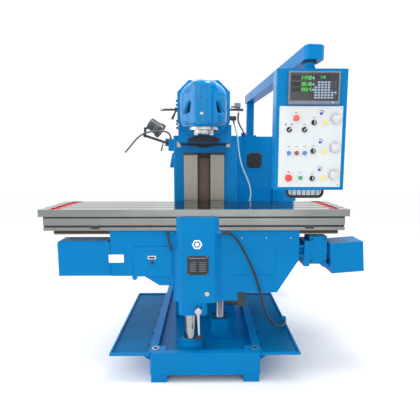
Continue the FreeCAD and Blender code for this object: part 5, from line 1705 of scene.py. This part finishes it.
@dataclass
class WorkLamp:
    """The tilted lamp head: finned shell, collar, glass and yoke."""

    body: str = "lamp_head"
    rear: tuple[float, float, float] = (-0.438, 0.040, 1.741)
    tilt: float = -36.0

    def build(self) -> None:
        """Makes the lamp head in place of its plain solid."""
        way = (math.cos(math.radians(self.tilt)), 0.0, math.sin(math.radians(self.tilt)))
        shell = [(0.020, -0.0005), (0.040, 0.0), (0.0455, 0.004)]
        for fin in range(5):
            start = 0.010 + fin * 0.0085
            shell += [(0.0465, start), (0.0465, start + 0.0040), (0.0425, start + 0.0045),
                      (0.0425, start + 0.0080)]
        shell += [(0.0485, 0.054), (0.0520, 0.076), (0.0545, 0.092)]
        inner = [(0.0505, 0.1165), (0.0470, 0.104), (0.0300, 0.060), (0.0120, 0.050)]
        Surface().turned(shell + [(0.0545, 0.1165)] + inner, self.rear, way, 56) \
            .build("lamp_shell", Finish.LAMP.material(), self.body)
        collar = Surface().ring([(0.0535, 0.086), (0.0592, 0.088), (0.0598, 0.112), (0.0590, 0.1178),
                                 (0.0520, 0.1178),
                                 (0.0520, 0.112)], self.rear, way, 56)
        px, py, pz = -0.474, 0.040, 1.640
        for y0 in (py - 0.0244, py + 0.0144):
            collar.block((px - 0.007, y0, pz - 0.004), (px + 0.007, y0 + 0.0096, pz + 0.064), 0.003)
            collar.turned([(0.0128, 0.0), (0.0128, 0.0092), (0.0115, 0.0098)], (px, y0, pz), Axis.Y, 32)
        collar.block((px - 0.007, py - 0.0240, pz + 0.052), (px + 0.030, py + 0.0240, pz + 0.064), 0.003)
        piece = collar.build("lamp_collar", Finish.BLACK_STEEL.material(), self.body)
        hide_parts("lamp_head")
        Surface().turned([(0.0515, 0.105), (0.0515, 0.108), (0.040, 0.1105), (0.020, 0.1118)], self.rear, way,
                         56) \
            .build("lamp_glass", Finish.LENS.material(), self.body)
        Surface().turned([(0.0085, 0.0), (0.0105, 0.003), (0.0105, 0.010), (0.0085, 0.013)],
                         (px, py + 0.0242, pz), Axis.Y, 6) \
            .build("lamp_wing_nut", Finish.CHROME.material(), self.body)


ASSEMBLIES = (PlainFinishes, ReadoutFace, ControlPanel, PendantCase, MillingHead, RamFittings,
              SpindleFittings,
              KneeFittings, PostClamp, BaseFittings, ColumnFittings, CabinetFittings, TableFittings, WorkLamp)


# ---- the whole machine ------------------------------------------------------------------------
def main() -> None:
    """Builds the studio, the cords and then each sub-assembly."""
    logging.basicConfig(level=logging.INFO, format="%(name)s: %(message)s")
    Studio().build()
    for cord in (KNEE_CABLE, HEAD_HOSE, LUBE_HOSE):
        cord.build()
    for assembly in ASSEMBLIES:
        assembly().build()
    bpy.context.view_layer.update()


if __name__ == "__main__":
    main()
